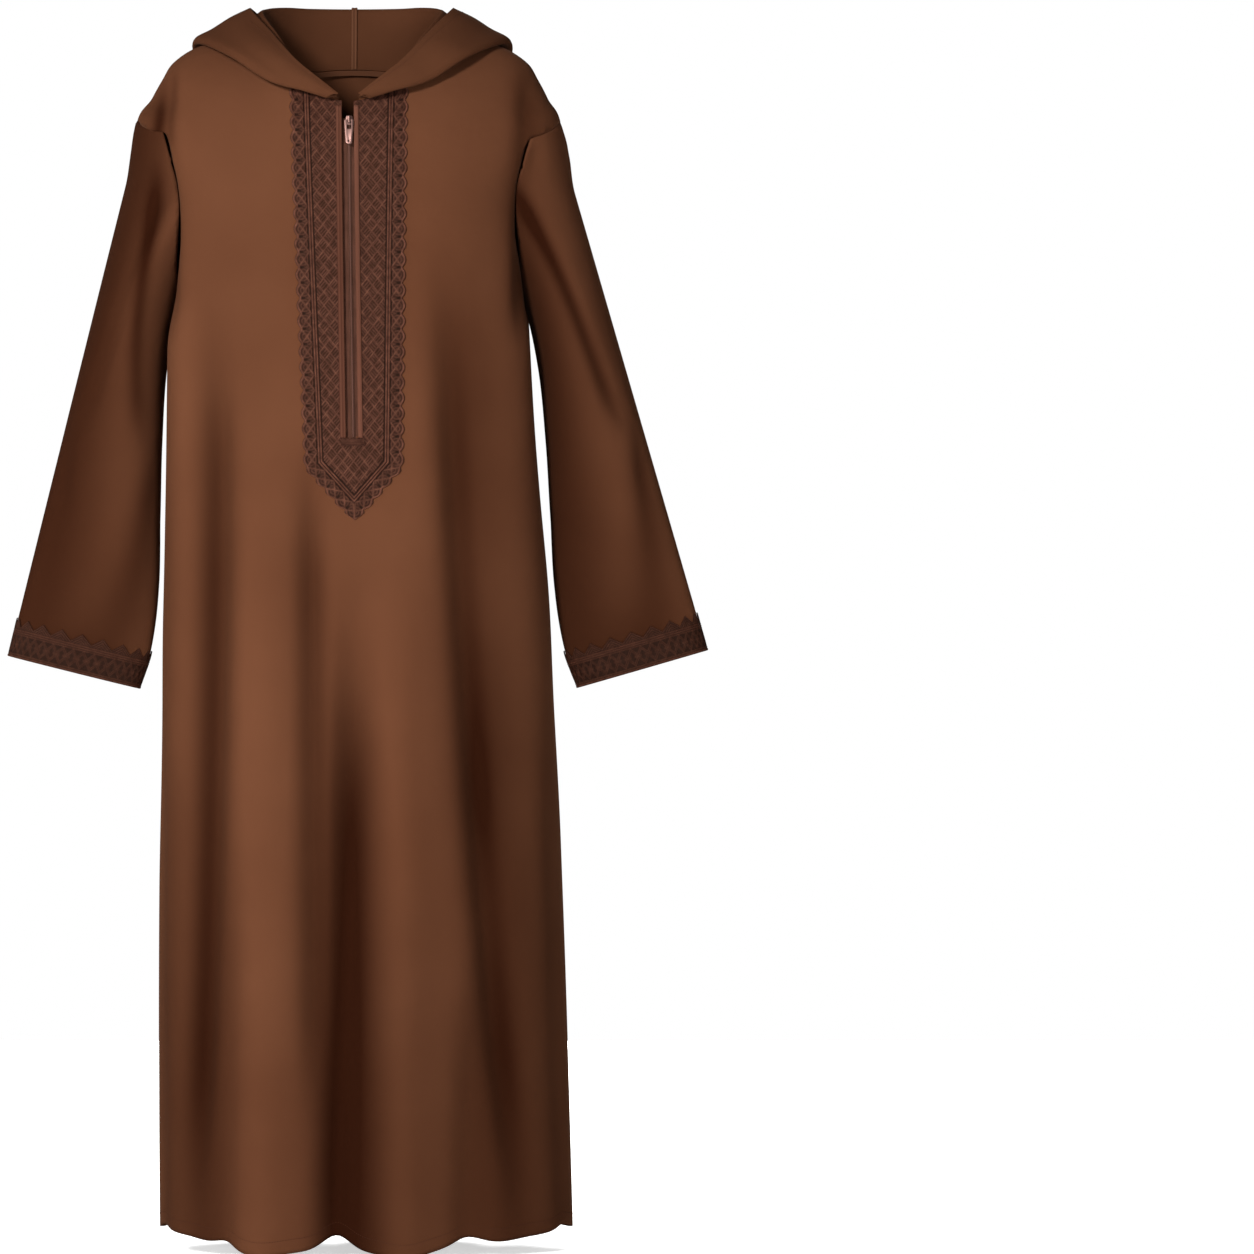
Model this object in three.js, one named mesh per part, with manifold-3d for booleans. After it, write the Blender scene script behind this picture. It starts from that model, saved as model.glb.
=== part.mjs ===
// Hooded abaya, filled out as if worn, with the hood down and the neck, cuffs and hem open.
// Millimetres, +Z up. The front faces -Y and the wearer's left is +X.
// The origin is the middle of the neck opening, where the shoulders of the wearer carry the garment.

import * as THREE from "three";
import Module from "manifold-3d";
import { mergeVertices } from "three/addons/utils/BufferGeometryUtils.js";

const wasm = await Module();
wasm.setup();

// Driving dimensions
const clothWall = 2; // crepe with its facings, front, back and sleeves
const hoodWall = 2;
const seamGap = 0.3; // between pieces that are sewn together
const trimWall = 1.6; // embroidered panel and cuff bands
const trimLift = 0.3; // from the cloth to what is sewn on it

const zipTopZ = -42;
const zipEndZ = -434;
const zipLean = 0.0165; // the front hangs a little to the wearer's left on its way down
const slitRight = 8; // from the zip's line to the slit's edges
const slitLeft = 5.5;
const sliderZ = -67;

const aboveNeckZ = 60; // cuts run past the neck edge, which ends the panel
const placketTopHalf = 65;
const placketLowHalf = 54;
const placketSideZ = -468; // where the straight sides end
const placketTipZ = -529;
const scallopPitch = 18;
const scallopDepth = 4;
const scallopSteps = 4; // straight runs that make up one scallop

// What is sewn beside the zip: each strip's two edges from the zip's line, its top and its low end
const weltStrips = {
  right: { near: -15, far: -8.2, topZ: -50, lowZ: -434, wall: 1.4 },
  left: { near: 5.7, far: 11.5, topZ: -50, lowZ: -434, wall: 2 },
};
const tapeStrip = { near: -16, far: 14, topZ: -63, lowZ: -444, wall: 0.9 };
const coilStrip = { near: -2.6, far: 2.6, topZ: -65, lowZ: -433, wall: 3 };
const stopStrip = { near: -13, far: 13, topZ: -435, lowZ: -443, wall: 1 };

const cuffTrimHeight = 36;
const cuffPointHeight = 10; // of the zigzag above the band
const cuffPoints = 20; // round each cuff, one on each column of the sleeve's grid
const cuffTrimLift = 0.5;
const roundOff = 1e-9;

// Levels of the body, from the hem to the neck edge. Each has the height at its sides, centre front
// and centre back, its reach to the wearer's left and right, its depth to the front and back,
// how square it is (2 is an ellipse), and how far the side is tucked in behind the hanging sleeve.
const bodyLevels = [
  { side: -1351, fore: -1371, rear: -1364, left: 257, right: 224, front: 156, back: 150, square: 2.3, tuck: 0 },
  { side: -1210, fore: -1210, rear: -1210, left: 253, right: 225, front: 152, back: 144, square: 2.3, tuck: 0 },
  { side: -1060, fore: -1060, rear: -1060, left: 248, right: 225, front: 149, back: 139, square: 2.4, tuck: 0 },
  { side: -910, fore: -910, rear: -910, left: 242, right: 224, front: 145, back: 134, square: 2.5, tuck: 0 },
  { side: -760, fore: -760, rear: -760, left: 236, right: 222, front: 141, back: 129, square: 2.6, tuck: 0 },
  { side: -620, fore: -620, rear: -620, left: 231, right: 219, front: 137, back: 125, square: 2.8, tuck: 0 },
  { side: -500, fore: -500, rear: -500, left: 223, right: 217, front: 134, back: 122, square: 3, tuck: 6 },
  { side: -390, fore: -390, rear: -390, left: 215, right: 214, front: 132, back: 120, square: 3.2, tuck: 17 },
  { side: -290, fore: -290, rear: -290, left: 209, right: 211, front: 130, back: 118, square: 3.2, tuck: 28 },
  { side: -220, fore: -220, rear: -220, left: 205, right: 209, front: 126, back: 116, square: 3.2, tuck: 24 },
  { side: -150, fore: -160, rear: -155, left: 202, right: 208, front: 120, back: 114, square: 3.2, tuck: 6 },
  { side: -104, fore: -128, rear: -120, left: 220, right: 226, front: 116, back: 112, square: 3, tuck: 0 },
  { side: -62, fore: -104, rear: -92, left: 237, right: 243, front: 112, back: 109, square: 2.6, tuck: 0 },
  { side: -38, fore: -92, rear: -76, left: 231, right: 235, front: 110, back: 106, square: 2.5, tuck: 0 },
  { side: -12, fore: -81, rear: -60, left: 218, right: 221, front: 108, back: 103, square: 2.4, tuck: 0 },
  { side: 8, fore: -70, rear: -42, left: 205, right: 208, front: 105, back: 98, square: 2.3, tuck: 0 },
  { side: 26, fore: -60, rear: -24, left: 176, right: 180, front: 102, back: 91, square: 2.2, tuck: 0 },
  { side: 34, fore: -52, rear: -8, left: 138, right: 140, front: 100, back: 84, square: 2.1, tuck: 0 },
  { side: 38, fore: -44, rear: 5, left: 92, right: 92, front: 97, back: 76, square: 2, tuck: 0 },
];
const armpitLevel = 9;
const tuckSpread = 45; // half width of the tuck, front to back
const tuckShare = 0.35; // the edges beside the tuck stand out by this share of it
const levelDip = 2.2; // how a level bends from its centre height to its side height
// The neck edge dips to each side of the centre back
const neckArch = { drop: 12, aside: 58, width: 28, fromLevel: 13, overLevels: 5 };

// Long folds of the body: which face, where the fold starts and ends, how far it bows sideways,
// its depth (minus is a valley) and its half width. X, or Y on the two sides, is its place.
const bodyFolds = [
  { face: "front", topAt: -152, lowAt: -188, bow: 12, topZ: -230, lowZ: -1400, depth: -18, width: 19 },
  { face: "front", topAt: -92, lowAt: -106, bow: 0, topZ: -380, lowZ: -1900, depth: 10, width: 34 },
  { face: "front", topAt: -41, lowAt: -38, bow: 0, topZ: -420, lowZ: -1250, depth: -13, width: 15 },
  { face: "front", topAt: 10, lowAt: -34, bow: 4, topZ: -560, lowZ: -1900, depth: -20, width: 22 },
  { face: "front", topAt: 62, lowAt: 68, bow: 0, topZ: -470, lowZ: -1900, depth: 10, width: 30 },
  { face: "front", topAt: 112, lowAt: 210, bow: -14, topZ: -180, lowZ: -1400, depth: -15, width: 19 },
  { face: "front", topAt: 150, lowAt: 225, bow: -10, topZ: -180, lowZ: -1400, depth: -6, width: 40 },
  { face: "front", topAt: 150, lowAt: 128, bow: 0, topZ: -1000, lowZ: -1900, depth: -11, width: 22 },
  { face: "front", topAt: -134, lowAt: -150, bow: 0, topZ: -860, lowZ: -1900, depth: -6, width: 14 },
  { face: "front", topAt: -192, lowAt: -200, bow: 0, topZ: -180, lowZ: -900, depth: 5, width: 18 },
  { face: "front", topAt: -217, lowAt: -208, bow: 0, topZ: 4, lowZ: -330, depth: -10, width: 13 },
  { face: "front", topAt: 209, lowAt: 203, bow: 0, topZ: 4, lowZ: -340, depth: -9, width: 13 },
  { face: "back", topAt: 103, lowAt: 184, bow: -14, topZ: -270, lowZ: -1500, depth: -16, width: 19 },
  { face: "back", topAt: -60, lowAt: 0, bow: -10, topZ: -240, lowZ: -1700, depth: -16, width: 20 },
  { face: "back", topAt: -150, lowAt: -192, bow: 16, topZ: -140, lowZ: -1400, depth: -19, width: 19 },
  { face: "back", topAt: 50, lowAt: 84, bow: 0, topZ: -330, lowZ: -1900, depth: 10, width: 34 },
  { face: "back", topAt: 40, lowAt: 30, bow: 0, topZ: -820, lowZ: -1900, depth: -8, width: 17 },
  { face: "back", topAt: 152, lowAt: 216, bow: 0, topZ: -300, lowZ: -1400, depth: 6, width: 26 },
  { face: "back", topAt: -100, lowAt: -92, bow: 0, topZ: -260, lowZ: -1500, depth: 8, width: 26 },
  { face: "left", topAt: -46, lowAt: -40, bow: 0, topZ: -700, lowZ: -1900, depth: -5, width: 26 },
  { face: "left", topAt: 30, lowAt: 42, bow: 6, topZ: -620, lowZ: -1900, depth: 5, width: 28 },
  { face: "right", topAt: -34, lowAt: -44, bow: 0, topZ: -640, lowZ: -1900, depth: -5, width: 28 },
  { face: "right", topAt: 42, lowAt: 50, bow: -6, topZ: -700, lowZ: -1900, depth: 5, width: 26 },
];
const foldEase = 0.22; // share of a fold's length over which it grows from nothing
const hemSwing = 0.9; // a ridge at the hem hangs this much lower for each mm it stands out
const faceDepth = 60; // how far round the side a front or back fold is lost
const sideInset = 150; // the left and right folds start to show this far out

// Stations down a sleeve: the distance along its outer edge, how far that edge is drawn in,
// its width across, its depth front to back and how square it is.
const sleeveStations = [
  { down: 0, drawn: 50, width: 92, depth: 96, square: 2 },
  { down: 36, drawn: 0, width: 113, depth: 122, square: 2 },
  { down: 110, drawn: 0, width: 106, depth: 136, square: 2 },
  { down: 215, drawn: 0, width: 94, depth: 152, square: 2 },
  { down: 300, drawn: 0, width: 98, depth: 148, square: 2 },
  { down: 390, drawn: 0, width: 114, depth: 136, square: 2.1 },
  { down: 480, drawn: 0, width: 134, depth: 110, square: 2.2 },
  { down: 560, drawn: 0, width: 152, depth: 80, square: 2.2 },
  { down: 630, drawn: 0, width: 160, depth: 56, square: 2.2 },
  { down: 676, drawn: 0, width: 157, depth: 42, square: 2.2 },
];
const sleeves = {
  left: { sign: 1, topX: 228, topZ: -30, lean: 0.289 },
  right: { sign: -1, topX: 238, topZ: -30, lean: 0.249 },
};
const sleeveLength = sleeveStations[sleeveStations.length - 1].down;
const sleeveRows = 14; // the lowest is a little taller than a cuff band

// Soft folds round a sleeve: the turn where a fold starts and ends, in degrees from the front
// towards the outer edge, where it starts and ends down the sleeve, its depth and its half width.
const sleeveFolds = [
  { topTurn: -20, lowTurn: 40, from: 60, to: 420, depth: -5, width: 15 },
  { topTurn: 60, lowTurn: 10, from: 380, to: 760, depth: -5, width: 16 },
  { topTurn: 130, lowTurn: 165, from: 120, to: 520, depth: -5, width: 16 },
  { topTurn: 200, lowTurn: 130, from: 440, to: 800, depth: -5, width: 18 },
];

// Stations round one half of the hood, from the front of the zip to the centre back: the turn round
// the neck, then the top of the stand, the outermost fold, the free face edge, how the outer layer
// puffs out between the last two, and the radius of the outermost fold.
const hoodStations = [
  { turn: 8, top: [13, -102, -37], fold: [24, -107, -40], edge: [11, -112, -36], puff: [1, -2, 1], round: 3.5 },
  { turn: 26, top: [38, -94, -18], fold: [53, -105, -31], edge: [31, -107, -20], puff: [1, -3, 1], round: 4 },
  { turn: 45, top: [63, -75, 5], fold: [93, -95, -19], edge: [61, -93, 5], puff: [1, -4, 2], round: 4.5 },
  { turn: 66, top: [84, -46, 36], fold: [139, -74, 11], edge: [90, -62, 38], puff: [2, -5, 3], round: 5 },
  { turn: 88, top: [104, -4, 64], fold: [183, 2, 31], edge: [117, -16, 69], puff: [1, -2, 3], round: 5.5 },
  { turn: 110, top: [100, 38, 73], fold: [180, 64, 3], edge: [112, 38, 68], puff: [5, 6, 4], round: 6.5 },
  { turn: 128, top: [80, 68, 77], fold: [156, 102, -52], edge: [94, 84, 52], puff: [9, 13, 5], round: 8 },
  { turn: 146, top: [55, 84, 77], fold: [117, 122, -112], edge: [67, 116, 30], puff: [9, 17, 5], round: 9 },
  { turn: 163, top: [28, 91, 77], fold: [62, 130, -160], edge: [37, 135, 11], puff: [4, 20, 3], round: 9 },
  { turn: 180, top: [0, 93, 77], fold: [0, 133, -184], edge: [0, 140, 5], puff: [0, 21, 2], round: 9 },
];
const hoodCentre = hoodStations.length - 1;
const beforeCentre = hoodStations[hoodCentre - 1];
const mirrored = ([x, y, z]) => [-x, y, z];
hoodStations.push({
  turn: 360 - beforeCentre.turn,
  top: mirrored(beforeCentre.top),
  fold: mirrored(beforeCentre.fold),
  edge: mirrored(beforeCentre.edge),
  puff: mirrored(beforeCentre.puff),
  round: beforeCentre.round,
});
const neckSeamGap = 0.9; // from the neck edge to the hood, whose wall leans over it
const hoodTopRadius = 4.5; // of the fold at the top of the stand
const foldReach = 0.28; // a fold's rounding takes up at most this share of the runs beside it
const standRise = 5; // the hood stands straight up from its seam before it leans out
const hoodColumns = 16;
const hoodRows = 24;
const tapeWall = 1;
const hoodTapeHalf = 3.4;
const hoodTapeLift = 0.75; // clear of the seam where the bag is most curved

const neckTapeHeight = 6;
const neckTapeRise = 0.6; // of it, above the neck edge
const neckTapeTurn = 62; // degrees to each side of the centre back
const neckTapeLift = 0.9; // in from the back panel

// The zip's slider and pull, in the slider's own frame: Y is out of the garment when minus
const sliderSize = { width: 7.6, tail: 4.8, length: 11, thick: 2.4, lift: 1.4 };
const bridgeSize = { width: 2.2, reach: 9, height: 4.6, bar: 1.3, post: 1.8, root: 0.6 };
const pullSize = { length: 30, topWidth: 11, lowWidth: 7.6, thick: 1.2 };
const pullSlot = { width: 4.8, length: 10, margin: 1.6 };
const pullHole = { radius: 1.1, fromEnd: 3.6 };
const pullDrop = 0.6; // the pull hangs this far below the middle of the bridge

const materials = {
  crepe: new THREE.MeshStandardMaterial({ color: 0x5c3c2a, roughness: 0.6, side: THREE.DoubleSide }),
  embroidery: new THREE.MeshStandardMaterial({ color: 0x5c3e32, roughness: 0.7 }),
  zipCloth: new THREE.MeshStandardMaterial({ color: 0x4a3028, roughness: 0.8 }),
  zipTeeth: new THREE.MeshStandardMaterial({ color: 0x5a3c34, roughness: 0.45 }),
  metal: new THREE.MeshStandardMaterial({ color: 0xc39088, roughness: 0.3, metalness: 1 }),
};

// Curves through the rows of a table

function catmull(p0, p1, p2, p3, t) {
  const bend = 2 * p0 - 5 * p1 + 4 * p2 - p3 + (3 * (p1 - p2) + p3 - p0) * t;
  return p1 + 0.5 * t * (p2 - p0 + t * bend);
}

function between(rows, place, column) {
  // The value of a named column at a place among the rows, on a smooth curve
  const last = rows.length - 1;
  const low = Math.min(Math.max(Math.floor(place), 0), last - 1);
  const values = [-1, 0, 1, 2].map((step) => rows[Math.min(Math.max(low + step, 0), last)][column]);
  if (Array.isArray(values[0])) {
    return new THREE.Vector3(...[0, 1, 2].map((i) => catmull(...values.map((v) => v[i]), place - low)));
  }
  return catmull(...values, place - low);
}

function smooth(t) {
  const s = Math.min(Math.max(t, 0), 1);
  return s * s * (3 - 2 * s);
}

function superellipse(angle, square) {
  // Distance from the centre to a curve that is an ellipse at 2 and squarer above it
  const across = Math.abs(Math.sin(angle)) ** square;
  return (across + Math.abs(Math.cos(angle)) ** square) ** (-1 / square);
}

// The body's surface: angle 0 is the centre front and a quarter turn is the wearer's left

function foldOffset(x, y, z) {
  let offset = 0;
  for (const fold of bodyFolds) {
    const run = (fold.topZ - z) / (fold.topZ - fold.lowZ);
    if (run <= 0 || run >= 1) continue;
    const onSide = fold.face === "left" || fold.face === "right";
    const centre = fold.topAt + (fold.lowAt - fold.topAt) * run + fold.bow * 4 * run * (1 - run);
    const away = ((onSide ? y : x) - centre) / fold.width;
    const outward = { front: -y, back: y, left: x - sideInset, right: -x - sideInset }[fold.face];
    const facing = smooth(outward / faceDepth);
    const strength = smooth(run / foldEase) * smooth((1 - run) / foldEase);
    offset += fold.depth * strength * facing * Math.exp(-away * away);
  }
  return offset;
}

function bodyPoint(angle, level) {
  const row = (column) => between(bodyLevels, level, column);
  const aside = Math.sin(angle);
  const forward = Math.cos(angle);
  const square = row("square");
  const tuck = row("tuck");
  const reach = row(aside > 0 ? "left" : "right") + tuckShare * tuck;
  const depth = row(forward > 0 ? "front" : "back");
  const radius = superellipse(angle, square);
  let x = reach * radius * aside;
  let y = -depth * radius * forward;
  const middle = row(forward > 0 ? "fore" : "rear");
  let z = middle + (row("side") - middle) * Math.abs(x / reach) ** levelDip;
  const arched = (Math.abs(x) - neckArch.aside) / neckArch.width;
  const nearNeck = smooth((level - neckArch.fromLevel) / neckArch.overLevels) * smooth(-forward * 2);
  z -= neckArch.drop * nearNeck * Math.exp(-arched * arched);
  const edgeX = Math.abs(x / reach) ** (square - 1) / reach;
  const edgeY = Math.abs(y / depth) ** (square - 1) / depth;
  const steep = Math.hypot(edgeX, edgeY);
  const offset = foldOffset(x, y, z);
  x -= Math.sign(aside) * tuck * Math.exp(-((y / tuckSpread) ** 2));
  x += (offset * Math.sign(x) * edgeX) / steep;
  y += (offset * Math.sign(y) * edgeY) / steep;
  z -= hemSwing * offset * smooth(1 - level);
  return new THREE.Vector3(x, y, z);
}

// The sleeve's surface: angle 0 is its front and a quarter turn its outer edge

function sleeveFoldOffset(angle, down, radius) {
  let offset = 0;
  for (const fold of sleeveFolds) {
    const run = (down - fold.from) / (fold.to - fold.from);
    if (run <= 0 || run >= 1) continue;
    const turn = THREE.MathUtils.degToRad(fold.topTurn + (fold.lowTurn - fold.topTurn) * run);
    const apart = Math.atan2(Math.sin(angle - turn), Math.cos(angle - turn));
    const away = (apart * radius) / fold.width;
    offset += fold.depth * smooth(run / foldEase) * smooth((1 - run) / foldEase) * Math.exp(-away * away);
  }
  return offset;
}

function sleevePoint(sleeve, angle, down) {
  let place = 0;
  while (place < sleeveStations.length - 2 && sleeveStations[place + 1].down < down) place += 1;
  const from = sleeveStations[place].down;
  place += (down - from) / (sleeveStations[place + 1].down - from);
  const row = (column) => between(sleeveStations, place, column);
  const lean = Math.atan(sleeve.lean);
  const halfWidth = row("width") / 2;
  const halfDepth = row("depth") / 2;
  const radius = superellipse(angle, row("square"));
  const offset = sleeveFoldOffset(angle, down, halfDepth) * smooth(halfDepth / faceDepth);
  const out = (halfWidth + offset) * radius * Math.sin(angle);
  const across = out - halfWidth - row("drawn");
  const outX = sleeve.topX + down * Math.sin(lean) + across * Math.cos(lean);
  const outZ = sleeve.topZ - down * Math.cos(lean) + across * Math.sin(lean);
  return new THREE.Vector3(sleeve.sign * outX, -(halfDepth + offset) * radius * Math.cos(angle), outZ);
}

// Walls and solids from surfaces

function liftedPoint(pointAt, a, b, lift) {
  // A point of the surface, moved out along its normal, which is where a turns into b
  const step = 1e-3;
  const alongA = pointAt(a + step, b).sub(pointAt(a - step, b));
  const alongB = pointAt(a, Math.min(b + step, 1)).sub(pointAt(a, Math.max(b - step, 0)));
  const normal = alongA.cross(alongB).normalize();
  return pointAt(a, b).addScaledVector(normal, lift);
}

function solidOf(points, triangles) {
  const vertProperties = new Float32Array(points.flatMap((p) => [p.x, p.y, p.z]));
  const triVerts = new Uint32Array(triangles);
  return new wasm.Manifold(new wasm.Mesh({ numProp: 3, vertProperties, triVerts }));
}

function wallOn(pointAt, { across, along, from, to, ring = false }) {
  // A grid on a surface made into a wall that reaches from one lift to another
  const columns = ring ? across : across + 1;
  const points = [];
  const triangles = [];
  for (const lift of [from, to]) {
    for (let b = 0; b <= along; b++) {
      for (let a = 0; a < columns; a++) points.push(liftedPoint(pointAt, a / across, b / along, lift));
    }
  }
  const id = (layer, a, b) => (layer * (along + 1) + b) * columns + (a % columns);
  const quad = (p, q, r, s) => triangles.push(p, q, r, p, r, s);
  for (let a = 0; a < across; a++) {
    for (let b = 0; b < along; b++) {
      quad(id(1, a, b), id(1, a + 1, b), id(1, a + 1, b + 1), id(1, a, b + 1));
      quad(id(0, a, b), id(0, a, b + 1), id(0, a + 1, b + 1), id(0, a + 1, b));
    }
    quad(id(0, a, 0), id(0, a + 1, 0), id(1, a + 1, 0), id(1, a, 0));
    quad(id(0, a, along), id(1, a, along), id(1, a + 1, along), id(0, a + 1, along));
  }
  for (let b = 0; b < along && !ring; b++) {
    quad(id(0, 0, b), id(1, 0, b), id(1, 0, b + 1), id(0, 0, b + 1));
    quad(id(0, across, b), id(0, across, b + 1), id(1, across, b + 1), id(1, across, b));
  }
  return solidOf(points, triangles);
}

function filledTube(pointAt, { around, along, lift }) {
  // The whole inside of a closed surface, with flat fans over its two ends
  const points = [];
  const triangles = [];
  for (let b = 0; b <= along; b++) {
    for (let a = 0; a < around; a++) points.push(liftedPoint(pointAt, a / around, b / along, lift));
  }
  const id = (a, b) => b * around + (a % around);
  const centreOf = (ring) => ring.reduce((sum, p) => sum.add(p), new THREE.Vector3()).divideScalar(around);
  points.push(centreOf(points.slice(0, around)), centreOf(points.slice(-around)));
  const [bottom, top] = [points.length - 2, points.length - 1];
  for (let a = 0; a < around; a++) {
    for (let b = 0; b < along; b++) {
      triangles.push(id(a, b), id(a + 1, b), id(a + 1, b + 1), id(a, b), id(a + 1, b + 1), id(a, b + 1));
    }
    triangles.push(bottom, id(a + 1, 0), id(a, 0), top, id(a, along), id(a + 1, along));
  }
  return solidOf(points, triangles);
}

function solidFromGeometry(geometry) {
  const bare = geometry.clone();
  bare.deleteAttribute("normal");
  bare.deleteAttribute("uv");
  const merged = mergeVertices(bare, 1e-4);
  const vertProperties = merged.attributes.position.array;
  const triVerts = new Uint32Array(merged.index.array);
  return new wasm.Manifold(new wasm.Mesh({ numProp: 3, vertProperties, triVerts }));
}

function prismThroughFront(outline) {
  // An outline in X and Z, carried straight through the front half of the garment
  const depth = 260;
  const geometry = new THREE.ExtrudeGeometry(outline, { depth, bevelEnabled: false });
  return solidFromGeometry(geometry.rotateX(Math.PI / 2));
}

function addPiece(group, name, solid, material) {
  const mesh = solid.getMesh();
  const geometry = new THREE.BufferGeometry();
  geometry.setAttribute("position", new THREE.BufferAttribute(mesh.vertProperties, 3));
  geometry.setIndex(new THREE.BufferAttribute(mesh.triVerts, 1));
  geometry.computeVertexNormals();
  const piece = new THREE.Mesh(geometry, material);
  piece.name = name;
  group.add(piece);
  return piece;
}

// Front and back panels

const levelCount = bodyLevels.length - 1;
const panelRows = 25;
const armpitRow = 15;
const placketRow = 9; // the row below the placket's tip
const armpitShare = armpitRow / panelRows;
const frontColumns = 32;
const backColumns = 22;
const placketColumns = 7; // of the front's columns, to each side of its centre
const stripColumns = 2;
const sideReach = 220;
const sideGap = seamGap / 2 / sideReach; // as a turn, at the side seam
const panelHalf = Math.PI / 2 - sideGap;

function levelAt(share) {
  // Even steps up to the armpit take most of the rows, and the shoulders take the rest
  const turn = armpitShare;
  if (share < turn) return (armpitLevel * share) / turn;
  return armpitLevel + ((levelCount - armpitLevel) * (share - turn)) / (1 - turn);
}

function bodySolid(lift) {
  const pointAt = (a, b) => bodyPoint(a * 2 * Math.PI, levelAt(b));
  return filledTube(pointAt, { around: 64, along: 30, lift });
}

function panel(centreAngle, across) {
  const pointAt = (a, b) => bodyPoint(centreAngle + (2 * a - 1) * panelHalf, levelAt(b));
  return wallOn(pointAt, { across, along: panelRows, from: -clothWall, to: 0 });
}

function sleeveSurface(sleeve) {
  // Runs up from the cuff, and turns so that its walls face out on both sleeves
  return (a, b) => sleevePoint(sleeve, sleeve.sign * a * 2 * Math.PI, sleeveLength * (1 - b));
}

function zipX(z) {
  return -zipLean * (z - zipTopZ);
}

function fromZip(offset, z) {
  return new THREE.Vector2(zipX(z) + offset, z);
}

function stripOutline({ near, far, topZ, lowZ }) {
  return new THREE.Shape([
    fromZip(near, topZ),
    fromZip(near, lowZ),
    fromZip(far, lowZ),
    fromZip(far, topZ),
  ]);
}

// The embroidered placket: straight sides and a pointed end, all edged with scallops

function scallopedOutline() {
  const base = [
    fromZip(-placketTopHalf, zipTopZ),
    fromZip(-placketLowHalf, placketSideZ),
    fromZip(0, placketTipZ),
    fromZip(placketLowHalf, placketSideZ),
    fromZip(placketTopHalf, zipTopZ),
  ];
  const points = [new THREE.Vector2(-placketTopHalf, aboveNeckZ)];
  for (let side = 0; side < base.length - 1; side++) {
    const run = base[side + 1].clone().sub(base[side]);
    const out = new THREE.Vector2(run.y, -run.x).normalize();
    const count = Math.round(run.length() / scallopPitch) * scallopSteps;
    for (let i = 0; i < count; i++) {
      const bulge = scallopDepth * Math.sin((Math.PI * (i % scallopSteps)) / scallopSteps);
      const onSide = base[side].clone().addScaledVector(run, i / count);
      points.push(onSide.addScaledVector(out, bulge));
    }
  }
  points.push(base[base.length - 1], new THREE.Vector2(placketTopHalf, aboveNeckZ));
  return new THREE.Shape(points.reverse());
}

function frontPatch(halfColumns, from, to) {
  // The middle of the front on the panel's own grid, as a wall clear of it
  const half = (halfColumns * 2 * panelHalf) / frontColumns;
  const lowShare = placketRow / panelRows;
  const shareAt = (b) => lowShare + (1 - lowShare) * b;
  const pointAt = (a, b) => bodyPoint((2 * a - 1) * half, levelAt(shareAt(b)));
  return wallOn(pointAt, { across: 2 * halfColumns, along: panelRows - placketRow, from, to });
}

function stripOnFront(strip, from) {
  const wall = frontPatch(stripColumns, from, from + strip.wall);
  return wall.intersect(prismThroughFront(stripOutline(strip)));
}

// The hood

function neckSeamPoint(turn) {
  // Where the hood's wall starts: the middle of the panel's edge, moved on past it
  const angle = THREE.MathUtils.degToRad(turn);
  const rim = liftedPoint((a, b) => bodyPoint(a, levelCount * b), angle, 1, -clothWall / 2);
  const upAlong = bodyPoint(angle, levelCount).sub(bodyPoint(angle, levelCount - 0.05)).normalize();
  const gap = neckSeamGap + (hoodWall / 2) * (1 - Math.abs(upAlong.z));
  return rim.addScaledVector(upAlong, gap);
}

function roundedFold(before, corner, after, largest) {
  // Three points that turn a sharp fold on a small radius
  const back = before.clone().sub(corner);
  const on = after.clone().sub(corner);
  const radius = Math.min(largest, foldReach * back.length(), foldReach * on.length());
  const inward = back.normalize().add(on.normalize());
  const sideways = on.clone().sub(back).setLength(radius);
  inward.setLength(radius);
  return [
    corner.clone().add(inward).sub(sideways),
    corner.clone(),
    corner.clone().add(inward).add(sideways),
  ];
}

function hoodPoint(u, v) {
  // u runs round the neck from the front to the centre back, v from the neck seam to the face edge
  const place = u * hoodCentre;
  const row = (column) => between(hoodStations, place, column);
  const seam = neckSeamPoint(row("turn"));
  const [top, fold, edge, puff] = [row("top"), row("fold"), row("edge"), row("puff")];
  const mix = (from, to, share) => from.clone().lerp(to, share);
  const under = [mix(top, fold, 1 / 3), mix(top, fold, 2 / 3)];
  const over = [mix(fold, edge, 1 / 3).add(puff), mix(fold, edge, 2 / 3).add(puff)];
  const rise = Math.min(standRise, foldReach * seam.distanceTo(top));
  const risen = seam.clone().add(new THREE.Vector3(0, 0, rise));
  const points = [
    seam,
    risen,
    mix(risen, top, 0.5),
    ...roundedFold(risen, top, under[0], hoodTopRadius),
    ...under,
    ...roundedFold(under[1], fold, over[0], row("round")),
    ...over,
    edge,
  ];
  return new THREE.CatmullRomCurve3(points, false, "centripetal").getPoint(Math.min(Math.max(v, 0), 1));
}

function hoodSurface(sign) {
  return (a, b) => {
    const point = hoodPoint(Math.max(a, 0), b);
    return new THREE.Vector3(sign * (point.x + seamGap / 2), point.y, point.z);
  };
}

function hoodHalf(sign) {
  const grid = { across: hoodColumns, along: hoodRows };
  return wallOn(hoodSurface(sign), { ...grid, from: -hoodWall / 2, to: hoodWall / 2 });
}

function hoodSeamTape() {
  // On the hood's inside, over its centre seam
  const pointAt = (a, b) => {
    const centre = hoodPoint(1, b);
    return new THREE.Vector3((2 * a - 1) * hoodTapeHalf, centre.y, centre.z);
  };
  const lift = hoodWall / 2 + hoodTapeLift;
  return wallOn(pointAt, { across: 2, along: hoodRows, from: lift, to: lift + tapeWall });
}

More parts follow.
